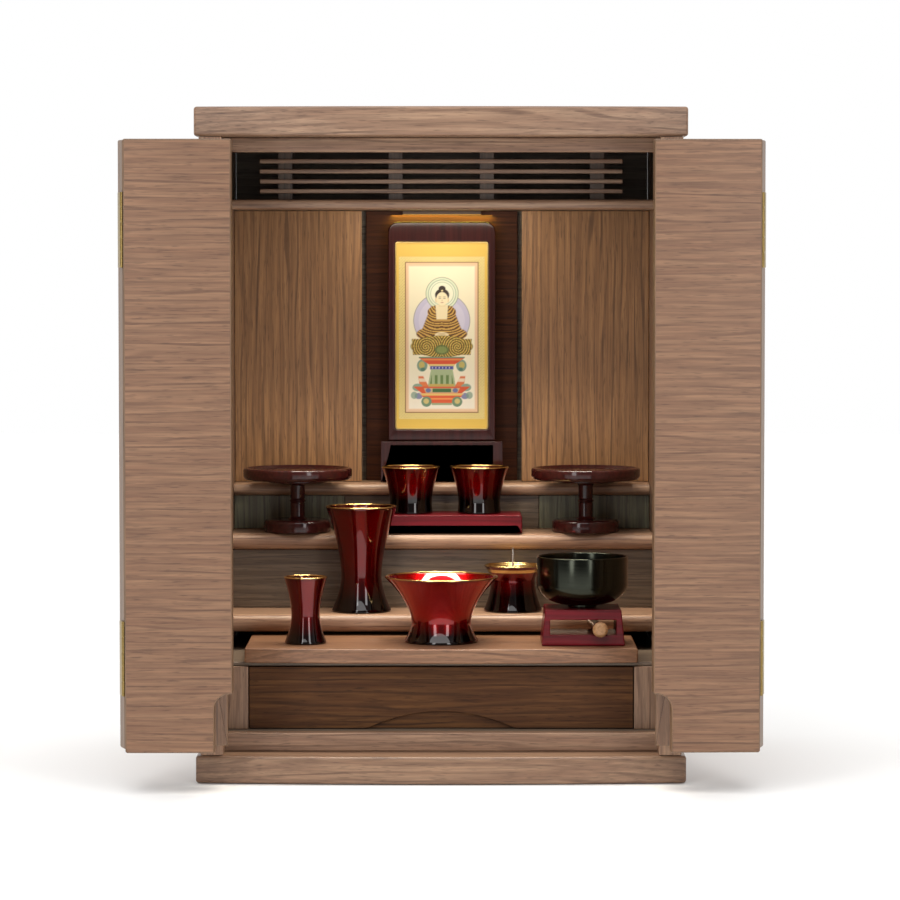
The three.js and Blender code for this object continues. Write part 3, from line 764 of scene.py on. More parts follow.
class ALTAR_OT_niche(bpy.types.Operator):
    """Wing panels, the niche's back and the lamp over it"""

    bl_idname = "altar.niche"
    bl_label = "Niche"

    def execute(self, context):
        # Quarter-sliced veneer with upright grain, warmer than the doors, partly as painted warm light
        # from the niche lamp.
        wings = veneer("upright_wing_veneer", ("#a87c50", "#8f6640", "#5f3f27"), (0, 0, 1))
        for side in SIDES:
            board(f"wing_panel_{side}", [wings], "pale_veneer")
        # Red-brown stained veneer, its tones also darkened as painted shade where it lies in shade
        # behind the picture.
        stained = veneer(
            "red_stain_and_painted_shade_veneer", ("#47230f", "#391a0a", "#210e06"), (1, 0, 0),
            roughness=0.6, gloss=0.0, shine=0.15,
        )
        board("niche_back", [stained], "red_wood")
        # Brown moulded housing, and the frosted diffuser of warm light-emitting diodes under it.
        housing, _, _ = material("brown_moulded_housing", base_color=linear("#3b2414"), roughness=0.6)
        lens, _, _ = material(
            "frosted_lamp_lens",
            base_color=linear("#ffe0a0"),
            roughness=0.5,
            emission_color=linear("#ffb93c"),
            emission_strength=0.6,
        )
        low, high = corners_of("niche_lamp")
        shell = prism(rectangle(low[:2], high[:2], 0.6 * MM), low[2], high[2], 0.3 * MM)
        under = low[2] + 0.2 * MM
        piece(
            "niche_lamp_housed", shell, [housing, lens], "lamp_lens", "niche_lamp",
            zones=lambda middle: middle[:, 2] < under,
        )
        return {"FINISHED"}


class ALTAR_OT_shelves(bpy.types.Operator):
    """The three bullnosed shelves and the risers between them"""

    bl_idname = "altar.shelves"
    bl_label = "Shelves and risers"

    def execute(self, context):
        sizes = context.scene.altar_sizes
        across = taupe("taupe_veneer_shelves", (1, 0, 0), 1.1)
        for name in ("shelf_upper", "shelf_middle", "shelf_lower"):
            bullnosed(name, f"{name}_bullnosed", sizes.nosing, 10, across)
        # Upright grain in the shade of the shelf above: greenish grey at the sides.
        side_risers = veneer("upright_riser_veneer", ("#6d6a52", "#55513e", "#38352a"), (0, 0, 1))
        for side in SIDES:
            board(f"riser_upper_{side}", [side_risers], "pale_veneer")
        risers = veneer("grey_riser_veneer", ("#6b5a49", "#594939", "#403429"), (1, 0, 0))
        for name in ("riser_upper_centre", "riser_middle"):
            board(name, [risers], "grey_veneer")
        return {"FINISHED"}


class ALTAR_OT_tray(bpy.types.Operator):
    """The sliding tray, the drawer under it and the stiles beside the drawer"""

    bl_idname = "altar.tray"
    bl_label = "Tray and drawer"

    def execute(self, context):
        sizes = context.scene.altar_sizes
        across = taupe("taupe_veneer_tray", (1, 0, 0), 0.75, 0.82)
        bowed("sliding_tray", "sliding_tray_bowed", 1.4 * MM, [across], "veneer")
        stiles = taupe("taupe_veneer_stiles", (0, 0, 1), 0.8)
        for side in SIDES:
            board(f"drawer_stile_{side}", [stiles], "veneer")
        # The drawer's veneer is a little redder, its grain across.
        front = veneer(
            "red_brown_drawer_veneer", ("#5f3d20", "#4a2c16", "#301a0c"), (1, 0, 0),
            roughness=0.6, gloss=0.0, shine=0.2,
        )
        low, high = corners_of("drawer_front")
        half, rise = sizes.arch_width / 2, sizes.arch_height
        share = np.linspace(1, -1, 33)
        arch = np.column_stack([half * share, low[2] + rise * (1 - share**2)])
        corners = np.concatenate([
            [(low[0], low[2]), (low[0], high[2]), (high[0], high[2]), (high[0], low[2])], arch,
        ])[::-1]
        radii = np.zeros(len(corners))
        radii[-4:] = sizes.panel_ease
        grip = low[1] + sizes.arch_depth
        face = prism(rounded(corners, radii, 3), low[1], grip + 0.5 * MM, 0.4 * MM, "front")
        ground = rectangle((low[0], low[2]), (high[0], high[2]), sizes.panel_ease)
        behind = prism(ground, grip, high[1], 0.1 * MM, "front")
        piece("drawer_front_arched", joined(face, behind), [front], "veneer", "drawer_front")
        # Planed pale plywood inside the drawer.
        inside = veneer(
            "pale_drawer_ply", ("#c2a27c", "#ad8c67", "#8d6e4e"), (1, 0, 0),
            roughness=0.55, gloss=0.0,
        )
        box = frame["nodes"]["drawer_box"]
        box.data.materials.clear()
        box.data.materials.append(inside)
        return {"FINISHED"}


def leaf_place(side, leaf):
    """A leaf's pivot and its turn from closed: the outer leaf turns about the door's pin, and
    the inner one about the seam as well, by its coupling's share of the door's swing. In a
    closed leaf's own frame the pivot is the origin, and y points inwards."""
    swing, fold = JOINTS[f"{side}_door_swing"], JOINTS[f"{side}_leaf_fold"]
    shares = swing["axis"][2] + (leaf == "inner") * FOLD_SHARE[side] * fold["axis"][2]
    x, y, _ = (fold if leaf == "inner" else swing)["pos_m"]
    return np.array([x, y, 0.0]), -math.radians(swing["range_deg"][0]) * shares


def spun(points, turn):
    """Points turned by an angle about the upright: x cos t - y sin t and x sin t + y cos t."""
    cos, sin = math.cos(turn), math.sin(turn)
    x, y, z = points.T
    return np.column_stack([x * cos - y * sin, x * sin + y * cos, z])


def points_of(node_name):
    """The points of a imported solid."""
    mesh = frame["nodes"][node_name].data
    points = np.empty(len(mesh.vertices) * 3)
    mesh.vertices.foreach_get("co", points)
    return points.reshape(-1, 3)


class ALTAR_OT_doors(bpy.types.Operator):
    """The four door leaves, folded back, with their grips and edge bands"""

    bl_idname = "altar.doors"
    bl_label = "Door leaves"

    def execute(self, context):
        sizes = context.scene.altar_sizes
        wood = context.scene.altar_wood
        # Grain across the leaf; the leaf stands at an angle, so both x and y run along it.
        faces = taupe("taupe_veneer_doors", (1, 1, 0), 0.66, 0.85)
        inner_faces = taupe("taupe_veneer_door_insides", (0, 0, 1), 0.6, 0.88)
        # Thin solid-wood edge band, browner than the face, its tone also darkened as painted shade on
        # the leaves' side edges.
        bands = veneer(
            "edge_band_painted_shade", [wood.edge, shade(wood.edge, 0.85), shade(wood.edge, 0.65)], (0, 0, 1)
        )
        for side, hand in SIDES.items():
            for leaf in ("outer", "inner"):
                name = f"door_leaf_{side}_{leaf}"
                pivot, turn = leaf_place(side, leaf)
                shut = spun(points_of(name) - pivot, -turn)
                low, high = shut.min(0), shut.max(0)
                root, tip = (low[0], high[0]) if hand < 0 else (high[0], low[0])
                corners = [(root, low[2]), (tip, low[2]), (tip, high[2]), (root, high[2])]
                radii = [0.8 * MM, 2 * MM, 1.4 * MM, 1.4 * MM]
                if leaf == "inner":
                    notch, head = tip + hand * sizes.grip_width, low[2] + sizes.grip_height
                    corners[1:2] = [(notch, low[2]), (notch, head), (tip, head)]
                    radii = [2 * MM, 0.8 * MM, 12 * MM, 1.6 * MM, 1.4 * MM, 1.4 * MM]
                if hand > 0:
                    corners, radii = corners[::-1], radii[::-1]
                shell = prism(rounded(corners, radii, 8), low[1], high[1], 1.1 * MM, "front")

                def zones(middle, pivot=pivot, turn=turn, low=low[1] + 1e-5, high=high[1] - 1e-5):
                    depth = spun(middle - pivot, -turn)[:, 1]
                    return np.where(depth < low, 0, np.where(depth > high, 1, 2))

                piece(
                    f"{name}_veneered", (spun(shell[0], turn) + pivot, shell[1]),
                    [faces, inner_faces, bands], "veneer", name, zones=zones,
                )
        return {"FINISHED"}


class ALTAR_OT_hinges(bpy.types.Operator):
    """Knuckled barrels and plates of the eight hinges"""

    bl_idname = "altar.hinges"
    bl_label = "Hinges"

    def execute(self, context):
        lacquer = context.scene.altar_lacquer
        # Drawn brass, antiqued: dull yellow-brown with a soft gleam along the barrel.
        brass = metal("antiqued_brass", lacquer.brass, 0.34, 0.6 * MM)
        for side in SIDES:
            door, turn = leaf_place(side, "outer")
            seam, _ = leaf_place(side, "inner")
            for row, level in ((r, v) for r in ("side", "seam") for v in ("upper", "lower")):
                name = f"hinge_{side}_{row}_{level}"
                at_side = row == "side"
                pivot, radius, angle = (door, 2.2 * MM, 0.0) if at_side else (seam, 1.7 * MM, turn)
                shut = spun(points_of(name) - pivot, -angle)
                low, high = shut.min(0), shut.max(0)
                # The plate runs from the barrel to the solid's far end.
                ends = (0.0, high[1]) if at_side else (low[1], 0.0)
                # Five knuckles: the radius dips by a quarter at four joints.
                z = np.linspace(low[2], high[2], 61)
                share = (z - low[2]) / (high[2] - low[2]) * 5
                gap = np.minimum(np.abs(share - np.round(share)) / 0.05, 1)
                inner = (np.round(share) > 0) & (np.round(share) < 5)
                reach = radius * np.where(inner, 0.75 + 0.25 * gap, 0.8 + 0.2 * gap)
                profile = np.concatenate([[(0, low[2])], np.column_stack([reach, z]), [(0, high[2])]])
                barrel = turned(profile, (0, 0, 0), 20)
                outline = rectangle((-0.5 * MM, ends[0]), (0.5 * MM, ends[1]), 0.2 * MM, 2)
                plate = prism(outline, low[2], high[2], 0.2 * MM, steps=2)
                points, faces = joined(barrel, plate)
                piece(
                    f"{name}_knuckled", (spun(points, angle) + pivot, faces), [brass],
                    "hinge_brass", name, flat=False,
                )
        return {"FINISHED"}


def inside_ellipse(x, y, cx, cy, rx, ry, soft=0.4):
    """1 inside an ellipse and 0 outside: one less the length of (x - cx) / rx, (y - cy) / ry,
    spread over a soft edge in millimetres."""
    reach = np.hypot((x - cx) / rx, (y - cy) / ry)
    return np.clip((1 - reach) * min(rx, ry) / soft + 0.5, 0, 1)


def inside_taper(x, y, top, bottom, half_top, half_bottom, middle=0.0, soft=0.4):
    """1 inside an upright trapezoid: the half width runs straight from the top's to the
    bottom's, and the least distance to an edge is spread over a soft edge."""
    share = np.clip((top - y) / (top - bottom), 0, 1)
    half = half_top + (half_bottom - half_top) * share
    inside = np.minimum(half - np.abs(x - middle), np.minimum(top - y, y - bottom))
    return np.clip(inside / soft + 0.5, 0, 1)


def painting(x, y):
    """The picture's colours over its plane, in millimetres from its middle, as layers that
    each cover what is under them by the share that their shape gives."""
    finish = bpy.context.scene.altar_picture
    tone = np.empty((*x.shape, 3))
    tone[:] = finish.mount[:3]
    wide = np.abs(x)

    def lay(mask, code, share=1.0):
        cover = (mask * share)[..., None]
        tone[:] = tone * (1 - cover) + np.array(toned(code)[:3]) * cover

    def disc(cx, cy, rx, ry, code, share=1.0):
        lay(inside_ellipse(x, y, cx, cy, rx, ry), code, share)

    def taper(top, bottom, half_top, half_bottom, code, share=1.0):
        lay(inside_taper(x, y, top, bottom, half_top, half_bottom), code, share)

    # Brocade mount: plain gold, then a band of small pale flowers, a brown line, a pink band.
    lay(0.5 + 0.5 * np.sin(x * 4.1) * np.sin(y * 4.1), "#f0d27a", 0.25)
    band = inside_taper(x, y, 70, -74, 38, 38)
    lay(band, "#e3cf86")
    flower = (np.sin(x * 2.4) * np.sin(y * 2.4) > 0.35) * band
    lay(flower, "#b9a860", 0.55)
    lay((np.sin(x * 2.4 + 1.2) * np.sin(y * 2.4 + 0.8) > 0.6) * band, "#cf9a7a", 0.4)
    taper(65.4, -68.6, 32.6, 32.6, "#8a5f38")
    taper(64.6, -67.8, 31.8, 31.8, "#e8c39c")
    taper(62.0, -65.4, 29.6, 29.6, "#f0d9b8")
    taper(61.4, -64.8, 29.0, 29.0, finish.ground)
    lay(np.clip((-y - 20) / 60, 0, 1) * inside_taper(x, y, 61.4, -64.8, 29.0, 29.0), "#ece4dc", 0.7)

    # Halos.
    disc(0, 13.5, 25.2, 24.6, "#8f8a86")
    disc(0, 13.5, 24.7, 24.1, finish.halo)
    disc(0, 13.5, 20.5, 20.0, "#d8d2df", 0.7)
    rings = (
        (14.6, "#7f8f76"), (14.1, "#dfe6c6"), (12.4, "#8fa486"),
        (11.9, "#e9ecd0"), (10.4, "#a9b896"), (9.9, "#f1efd2"),
    )
    for reach, code in rings:
        disc(0.3, 37.3, reach, reach, code)

    # Seated figure: robe with folds, bare chest, sleeves, hands in the lap.
    folds = 0.5 + 0.5 * np.sin(np.hypot(wide - 4, y - 26) * 2.6 + 0.8 * np.sin(y * 0.9))
    robe = np.maximum(
        inside_taper(x, y, 26, 4, 9.5, 18.0, soft=1.2), inside_ellipse(x, y, 0, 1.5, 22.5, 7.2)
    )
    robe = np.maximum(robe, inside_ellipse(x, y, 0, 21, 12.6, 6.5))
    lay(robe, finish.robe)
    lay(robe * (folds > 0.62), "#d9b057", 0.9)
    lay(robe * (folds < 0.18), "#4a2c12", 0.85)
    chest = inside_taper(x, y, 27.5, 13, 5.6, 4.6, soft=0.8)
    lay(chest, "#f3e2b4")
    lay(inside_taper(x, y, 14.5, 12.8, 7.5, 6.5, soft=0.6), "#c79a4a")
    disc(0, 0.6, 6.2, 2.6, "#efdcae")
    disc(0, 1.5, 4.2, 0.5, "#a98248", 0.7)

    # Head: neck, ears, face on the usual thirds, hair with a low crown.
    lay(inside_taper(x, y, 29, 25.8, 2.4, 3.0, 0.3), "#ead7a4")
    for hand in (-1, 1):
        disc(0.3 + hand * 5.3, 31.8, 0.9, 2.6, "#ead3a0")
    disc(0.3, 36.2, 6.3, 5.4, "#3a2c22")
    disc(0.3, 41.6, 3.1, 2.7, "#3a2c22")
    disc(0.3, 32.6, 5.1, 6.0, "#f6e7bd")
    disc(0.3, 39.9, 0.9, 0.7, "#e9d9a0")
    for hand in (-1, 1):
        lay(inside_ellipse(x, y, 0.3 + hand * 2.0, 34.3, 1.35, 0.28, 0.3), "#6b5034", 0.8)
        lay(inside_ellipse(x, y, 0.3 + hand * 2.0, 33.0, 1.1, 0.3, 0.3), "#4b3826", 0.8)
    lay(inside_ellipse(x, y, 0.3, 31.3, 0.55, 0.6, 0.4), "#d9bd86", 0.8)
    lay(inside_ellipse(x, y, 0.3, 29.4, 1.3, 0.35, 0.3), "#b4644c", 0.85)

    # Lotus seat: a broad gilt mass of scrolls with a green boss in front.
    seat = np.maximum(
        inside_ellipse(x, y, 0, -9.5, 27.6, 9.6), inside_taper(x, y, -3, -17, 26.5, 25.5, soft=1.0)
    )
    lay(seat, "#8f6a1c")
    turn = np.arctan2(y + 10, wide - 14)
    swirl = np.sin(3.1 * np.hypot(wide - 14, y + 10) - 2 * turn)
    lay(seat * (swirl > 0.25), "#d8b85a", 0.95)
    lay(seat * (swirl < -0.62), "#4b2f10", 0.9)
    leaves = np.sin(wide * 2.2 + 1.5 * np.sin(y * 0.8))
    lay(seat * (leaves > 0.8), "#7c8430", 0.6)
    disc(0, -12.6, 6.4, 4.4, "#5f7038", 0.9)
    disc(0, -12.6, 4.6, 2.9, "#8c9a50", 0.7)

    # Pedestal: stepped and waisted, in red, blue and green, with scrolled brackets.
    for hand in (-1, 1):
        disc(hand * 17.4, -26.5, 4.6, 5.4, "#7f9c86")
        disc(hand * 17.8, -26.0, 2.6, 3.0, "#c9b45e", 0.9)
        disc(hand * 16.8, -29.8, 2.0, 1.6, "#4f7a66", 0.9)
    taper(-18.8, -20.2, 20.5, 20.0, "#6f9070")
    taper(-20.0, -25.6, 20.0, 11.5, "#d9532b")
    taper(-21.0, -21.8, 18.2, 17.0, "#f0b35c", 0.8)
    taper(-25.4, -27.2, 11.4, 11.4, "#e8cf7c")
    taper(-27.0, -30.0, 10.4, 10.4, "#4a4f9c")
    lay(inside_taper(x, y, -27.8, -29.2, 9.4, 9.4) * (np.sin(x * 2.1) > 0.3), "#c9c2dc", 0.9)
    taper(-30.0, -45.5, 9.6, 12.6, "#a9b88a")
    petals = 0.5 + 0.5 * np.cos(x * 1.25)
    lay(inside_taper(x, y, -35.0, -43.0, 9.0, 10.5) * (petals > 0.4), "#5d7a38", 0.9)
    taper(-43.0, -45.0, 11.0, 11.0, "#caa84c", 0.9)
    for hand in (-1, 1):
        lay(inside_taper(x - hand * 0.35 * (y + 41), y, -36, -47, 2.2, 4.4, hand * 17.0), "#e07a44")
        lay(inside_taper(x - hand * 0.35 * (y + 41), y, -38, -41, 2.6, 3.0, hand * 16.8), "#f3e6c6", 0.8)
        disc(hand * 21.5, -46.0, 4.6, 3.4, "#8fa890")
    taper(-45.2, -51.4, 25.5, 17.5, "#d9592f")
    taper(-46.6, -50.8, 16.0, 14.0, "#cdbb8c")
    taper(-47.0, -50.2, 8.2, 8.2, "#3f6b3c")
    for hand in (-1, 1):
        disc(hand * 12.0, -48.6, 2.4, 1.9, "#5a6a9e", 0.9)
        disc(hand * 20.5, -53.6, 3.6, 2.8, "#4f5a9a", 0.8)
        disc(hand * 24.5, -53.0, 3.0, 3.2, "#7f9c86", 0.8)
    taper(-51.4, -53.4, 20.0, 17.0, "#e9c06a")
    taper(-53.2, -60.0, 18.5, 9.5, "#df5d33")
    taper(-55.6, -56.6, 12.0, 11.0, "#f3b35e", 0.8)
    for hand in (-1, 1):
        disc(hand * 13.6, -58.6, 4.6, 4.6, "#6f8c6c")
        disc(hand * 13.8, -58.2, 2.4, 2.4, "#d6c27a", 0.9)
    taper(-59.8, -61.6, 9.0, 9.0, "#8fa070", 0.9)
    return tone


class ALTAR_OT_picture(bpy.types.Operator):
    """The painted picture, its lacquered frame with a pale slip, and its stand"""

    bl_idname = "altar.picture"
    bl_label = "Picture"

    def execute(self, context):
        lacquer = context.scene.altar_lacquer
        finish = context.scene.altar_picture
        wood = gloss_lacquer("mahogany_lacquer_frame", lacquer.mahogany, (0, 0, 1))
        # Gilt slip round the sight edge.
        slip = metal("gilt_slip", shade(lacquer.gold, 0.8), 0.35, 0.5 * MM)
        low, high = corners_of("picture_frame")
        side, head, foot = 6.3 * MM, 17.5 * MM, 10 * MM
        outer = rounded(
            [(low[0], low[2]), (high[0], low[2]), (high[0], high[2]), (low[0], high[2])],
            [1.0 * MM, 1.0 * MM, 9 * MM, 9 * MM],
            8,
        )
        sight = [(low[0] + side, low[2] + foot), (high[0] - side, high[2] - head)]
        inner = rectangle(*sight, 2.4 * MM, 8)
        body = framed(outer, inner, low[1], high[1], 1.3 * MM)
        inset = 1.1 * MM
        within = (np.array(sight[0]) + inset, np.array(sight[1]) - inset)
        opening = rectangle(*within, 1.8 * MM, 8)
        gilt = framed(inner, opening, low[1] + 1.6 * MM, low[1] + 2.9 * MM, 0.3 * MM)
        count = len(body[1])
        shell = joined(body, gilt)
        piece(
            "picture_frame_lacquered", shell, [wood, slip], "mahogany_lacquer", "picture_frame",
            zones=lambda middle: np.arange(len(middle)) >= count,
        )

        # Printed silk on card: matt, its colours kept as an attribute of the painted grid.
        paper, tree, shader = material("printed_silk_on_card", roughness=0.55, ior=1.45)
        paint = node(tree, "ShaderNodeAttribute", attribute_name="paint")
        tree.links.new(paint.outputs["Color"], shader.inputs["Base Color"])
        place = node(tree, "ShaderNodeTexCoord").outputs["Object"]
        weave = node(tree, "ShaderNodeTexNoise", {"Vector": place, "Scale": 1400.0, "Detail": 1.0})
        relief = {"Height": weave.outputs["Fac"], "Strength": 0.2, "Distance": 0.1 * MM}
        bump = node(tree, "ShaderNodeBump", relief)
        tree.links.new(bump.outputs["Normal"], shader.inputs["Normal"])
        low, high = corners_of("picture_board")
        columns = int(round((high[0] - low[0]) / finish.cell)) + 1
        rows = int(round((high[2] - low[2]) / finish.cell)) + 1
        x, z = np.meshgrid(np.linspace(low[0], high[0], columns), np.linspace(low[2], high[2], rows))
        tone = painting((x - (low[0] + high[0]) / 2) / MM, (z - (low[2] + high[2]) / 2) / MM)
        face = np.stack([x, np.full_like(x, low[1]), z], -1).reshape(-1, 3)
        i, j = np.meshgrid(np.arange(rows - 1), np.arange(columns - 1), indexing="ij")
        first = i * columns + j
        faces = np.stack([first, first + 1, first + columns + 1, first + columns], -1).reshape(-1, 4)
        rim = np.concatenate([
            np.arange(columns),
            np.arange(1, rows) * columns + columns - 1,
            (rows - 1) * columns + np.arange(columns - 2, -1, -1),
            np.arange(rows - 2, 0, -1) * columns,
        ])
        behind = face[rim].copy()
        behind[:, 1] = high[1]
        n = len(face)
        k = np.arange(len(rim))
        after = (k + 1) % len(rim)
        edge = np.stack([rim[k], n + k, n + after, rim[after]], -1)
        shell = (np.concatenate([face, behind]), faces.tolist() + edge.tolist() + [(n + k).tolist()])
        made = piece("picture_painted", shell, [paper], "picture_paper", "picture_board", flat=False)
        values = np.ones((len(made.data.vertices), 4), np.float32)
        values[:n, :3] = tone.reshape(-1, 3)
        values[n:, :3] = tone.reshape(-1, 3)[rim]
        attribute = made.data.attributes.new("paint", "FLOAT_COLOR", "POINT")
        attribute.data.foreach_set("color", values.ravel())

        low, high = corners_of("picture_stand")
        half, top, leg, centre = (high[0] - low[0]) / 2, 3.5 * MM, 9 * MM, 6.5 * MM
        under = high[2] - top
        corners = [
            (-half, low[2]), (leg - half, low[2]), (leg - half, under), (-centre, under),
            (-centre, low[2]), (centre, low[2]), (centre, under), (half - leg, under),
            (half - leg, low[2]), (half, low[2]), (half, high[2]), (-half, high[2]),
        ]
        shell = prism(rounded(corners, 0.5 * MM, 3), low[1], high[1], 0.5 * MM, "front")
        piece("picture_stand_lacquered", shell, [wood], "mahogany_lacquer", "picture_stand")
        return {"FINISHED"}


class ALTAR_OT_offerings(bpy.types.Operator):
    """The two offering stands: a dished disc on a ringed stem and a thick foot"""

    bl_idname = "altar.offerings"
    bl_label = "Offering stands"

    def execute(self, context):
        lacquer = context.scene.altar_lacquer
        polished = gloss_lacquer("mahogany_lacquer_stands", lacquer.mahogany)
        for side in SIDES:
            name = f"offering_stand_{side}"
            low, high = corners_of(name)
            plate, height = (high[0] - low[0]) / 2 / MM, (high[2] - low[2]) / MM
            foot, stem, collar = 29.5, 6.4, 26.0
            under = height - 10.5
            waist = (11 + under - 2.2) / 2
            corners = [
                (0, 0), (foot, 0), (foot, 11), (stem + 2.5, 11), (stem, 13.5),
                (stem, waist - 2.2), (stem - 0.9, waist - 1.6), (stem, waist - 1.0),
                (stem + 0.9, waist), (stem, waist + 1.0), (stem - 0.9, waist + 1.6),
                (stem, waist + 2.2), (stem, under - 4.6), (stem + 2.6, under - 2.2),
                (collar, under - 2.2), (collar, under), (plate, under), (plate, height),
                (plate - 3.2, height), (plate - 5.4, height - 2.5), (0, height - 2.5),
            ]
            radii = [
                1.2, 3.4, 1.4, 0.8, 0.2, 0.3, 0.3, 0.5, 0.3, 0.3,
                0.2, 1.2, 1.0, 0.8, 0.5, 4.0, 2.2, 0.9, 1.2,
            ]
            profile = fillet(corners, radii, 6) * MM
            centre = seat_of(low, high)
            shell = turned(profile, centre, lacquer.sides)
            piece(f"{name}_turned", shell, [polished], "mahogany_lacquer", name, flat=False)
        return {"FINISHED"}


# Waist, foot and the share of the height at which the waist lies, and the inside floor's height.
VESSELS = {
    "flower_vase": (17.4, 25.4, 0.33, 8),
    "incense_vase": (12.0, 17.3, 0.42, 7),
    "incense_bowl": (25.0, 30.7, 0.30, 8),
    "cup_left": (18.4, 19.0, 0.22, 3.5),
    "cup_right": (18.4, 19.0, 0.22, 3.5),
    "candle_stand": (19.0, 25.0, 0.66, 34),
}


def make_vessel(name, materials):
    """A turned vessel in its solid's place, its lip in the second material and, where there is
    a third, the pan inside its mouth in that."""
    sides = bpy.context.scene.altar_lacquer.sides
    low, high = corners_of(name)
    waist, foot, waist_at, floor = VESSELS[name]
    height, rim = high[2] - low[2], (high[0] - low[0]) / 2
    profile = vessel(height, rim, waist * MM, foot * MM, waist_at, 1.8 * MM, floor * MM)
    mouth = max(high[2] - 8 * MM, low[2] + (floor - 0.1) * MM)
    centre = seat_of(low, high)

    def zones(middle):
        reach = np.hypot(middle[:, 0] - centre[0], middle[:, 1] - centre[1])
        lip = middle[:, 2] > high[2] - 1.4 * MM
        pan = (reach < rim - 2 * MM) & (middle[:, 2] > mouth) & (len(materials) > 2)
        return np.where(lip, 1, np.where(pan, 2, 0))

    made = piece(
        f"{name}_turned", turned(profile, centre, sides), materials, "vessel_lacquer", name,
        flat=False, zones=zones,
    )
    along_piece(made, "rise")


class ALTAR_OT_cups(bpy.types.Operator):
    """The low red table and the two cups on it"""

    bl_idname = "altar.cups"
    bl_label = "Table and cups"

    def execute(self, context):
        lacquer = context.scene.altar_lacquer
        red = gloss_lacquer("crimson_lacquer_table", lacquer.crimson, (1, 0, 0), 0.4)
        low, high = corners_of("cup_table")
        leg, apron = 4 * MM, 10 * MM
        corners = [
            (low[0], low[2]), (low[0] + leg, low[2]), (low[0] + leg, high[2] - apron),
            (high[0] - leg, high[2] - apron), (high[0] - leg, low[2]), (high[0], low[2]),
            (high[0], high[2]), (low[0], high[2]),
        ]
        radii = np.array([0.4, 0.4, 0.8, 0.8, 0.4, 0.4, 2.0, 2.0]) * MM
        shell = prism(rounded(corners, radii, 4), low[1], high[1], 1.0 * MM, "front")
        piece("cup_table_lacquered", shell, [red], "red_lacquer", "cup_table")
        # The cups' red is a darker copy of the lacquer, as painted shade.
        dark = candy_lacquer("dark_candy_lacquer", "rise", 0.30, 1.0, 0.62, 0.86, 0.7)
        gilt = metal("gilt_lip", lacquer.gold, 0.2, 0.4 * MM)
        for name in ("cup_left", "cup_right"):
            make_vessel(name, [dark, gilt])
        return {"FINISHED"}


class ALTAR_OT_vases(bpy.types.Operator):
    """The tall flower vase, the small incense vase and the incense bowl"""

    bl_idname = "altar.vases"
    bl_label = "Vases and bowl"

    def execute(self, context):
        lacquer = context.scene.altar_lacquer
        gilt = metal("gilt_lip_vases", lacquer.gold, 0.2, 0.4 * MM)
        # Each vessel's red is a lighter or darker copy, as painted light and painted shade: lighter on
        # the bowl, darker on the vases.
        for name, painted_light_factor in (("flower_vase", 0.55), ("incense_vase", 0.5), ("incense_bowl", 1.4)):
            # Red lacquer over bright metal, sprayed to black at the foot.
            candy = candy_lacquer(f"candy_lacquer_{name}", "rise", 0.12, 1.0, 0.45, 0.92, painted_light_factor)
            make_vessel(name, [candy, gilt])
        return {"FINISHED"}


class ALTAR_OT_candle(bpy.types.Operator):
    """The candle stand with its gilt pan, and the spike"""

    bl_idname = "altar.candle"
    bl_label = "Candle stand"

    def execute(self, context):
        lacquer = context.scene.altar_lacquer
        # The candle stand's red is a darker copy of the lacquer, as painted shade.
        dark = candy_lacquer("dark_candy_lacquer_candle", "rise", 0.35, 1.0, 0.62, 0.8, 0.6)
        gilt = metal("gilt_pan", lacquer.gold, 0.25, 0.4 * MM)
        make_vessel("candle_stand", [dark, gilt, gilt])
        # Drawn steel, bright where it is pointed.
        steel = metal("drawn_steel", linear("#c9c7c0"), 0.28, 0.3 * MM)
        low, high = corners_of("candle_spike")
        height = (high[2] - low[2]) / MM
        corners = [
            (0, 0), (3.3, 0), (3.3, 1), (1.1, 1.8),
            (1.0, height * 0.7), (0.12, height - 0.1), (0, height),
        ]
        profile = fillet(corners, [0.3, 0.3, 0.5, 3.0, 0.05], 4) * MM
        centre = seat_of(low, high)
        shell = turned(profile, centre, 32)
        piece("candle_spike_turned", shell, [steel], "spike_steel", "candle_spike", flat=False)
        return {"FINISHED"}


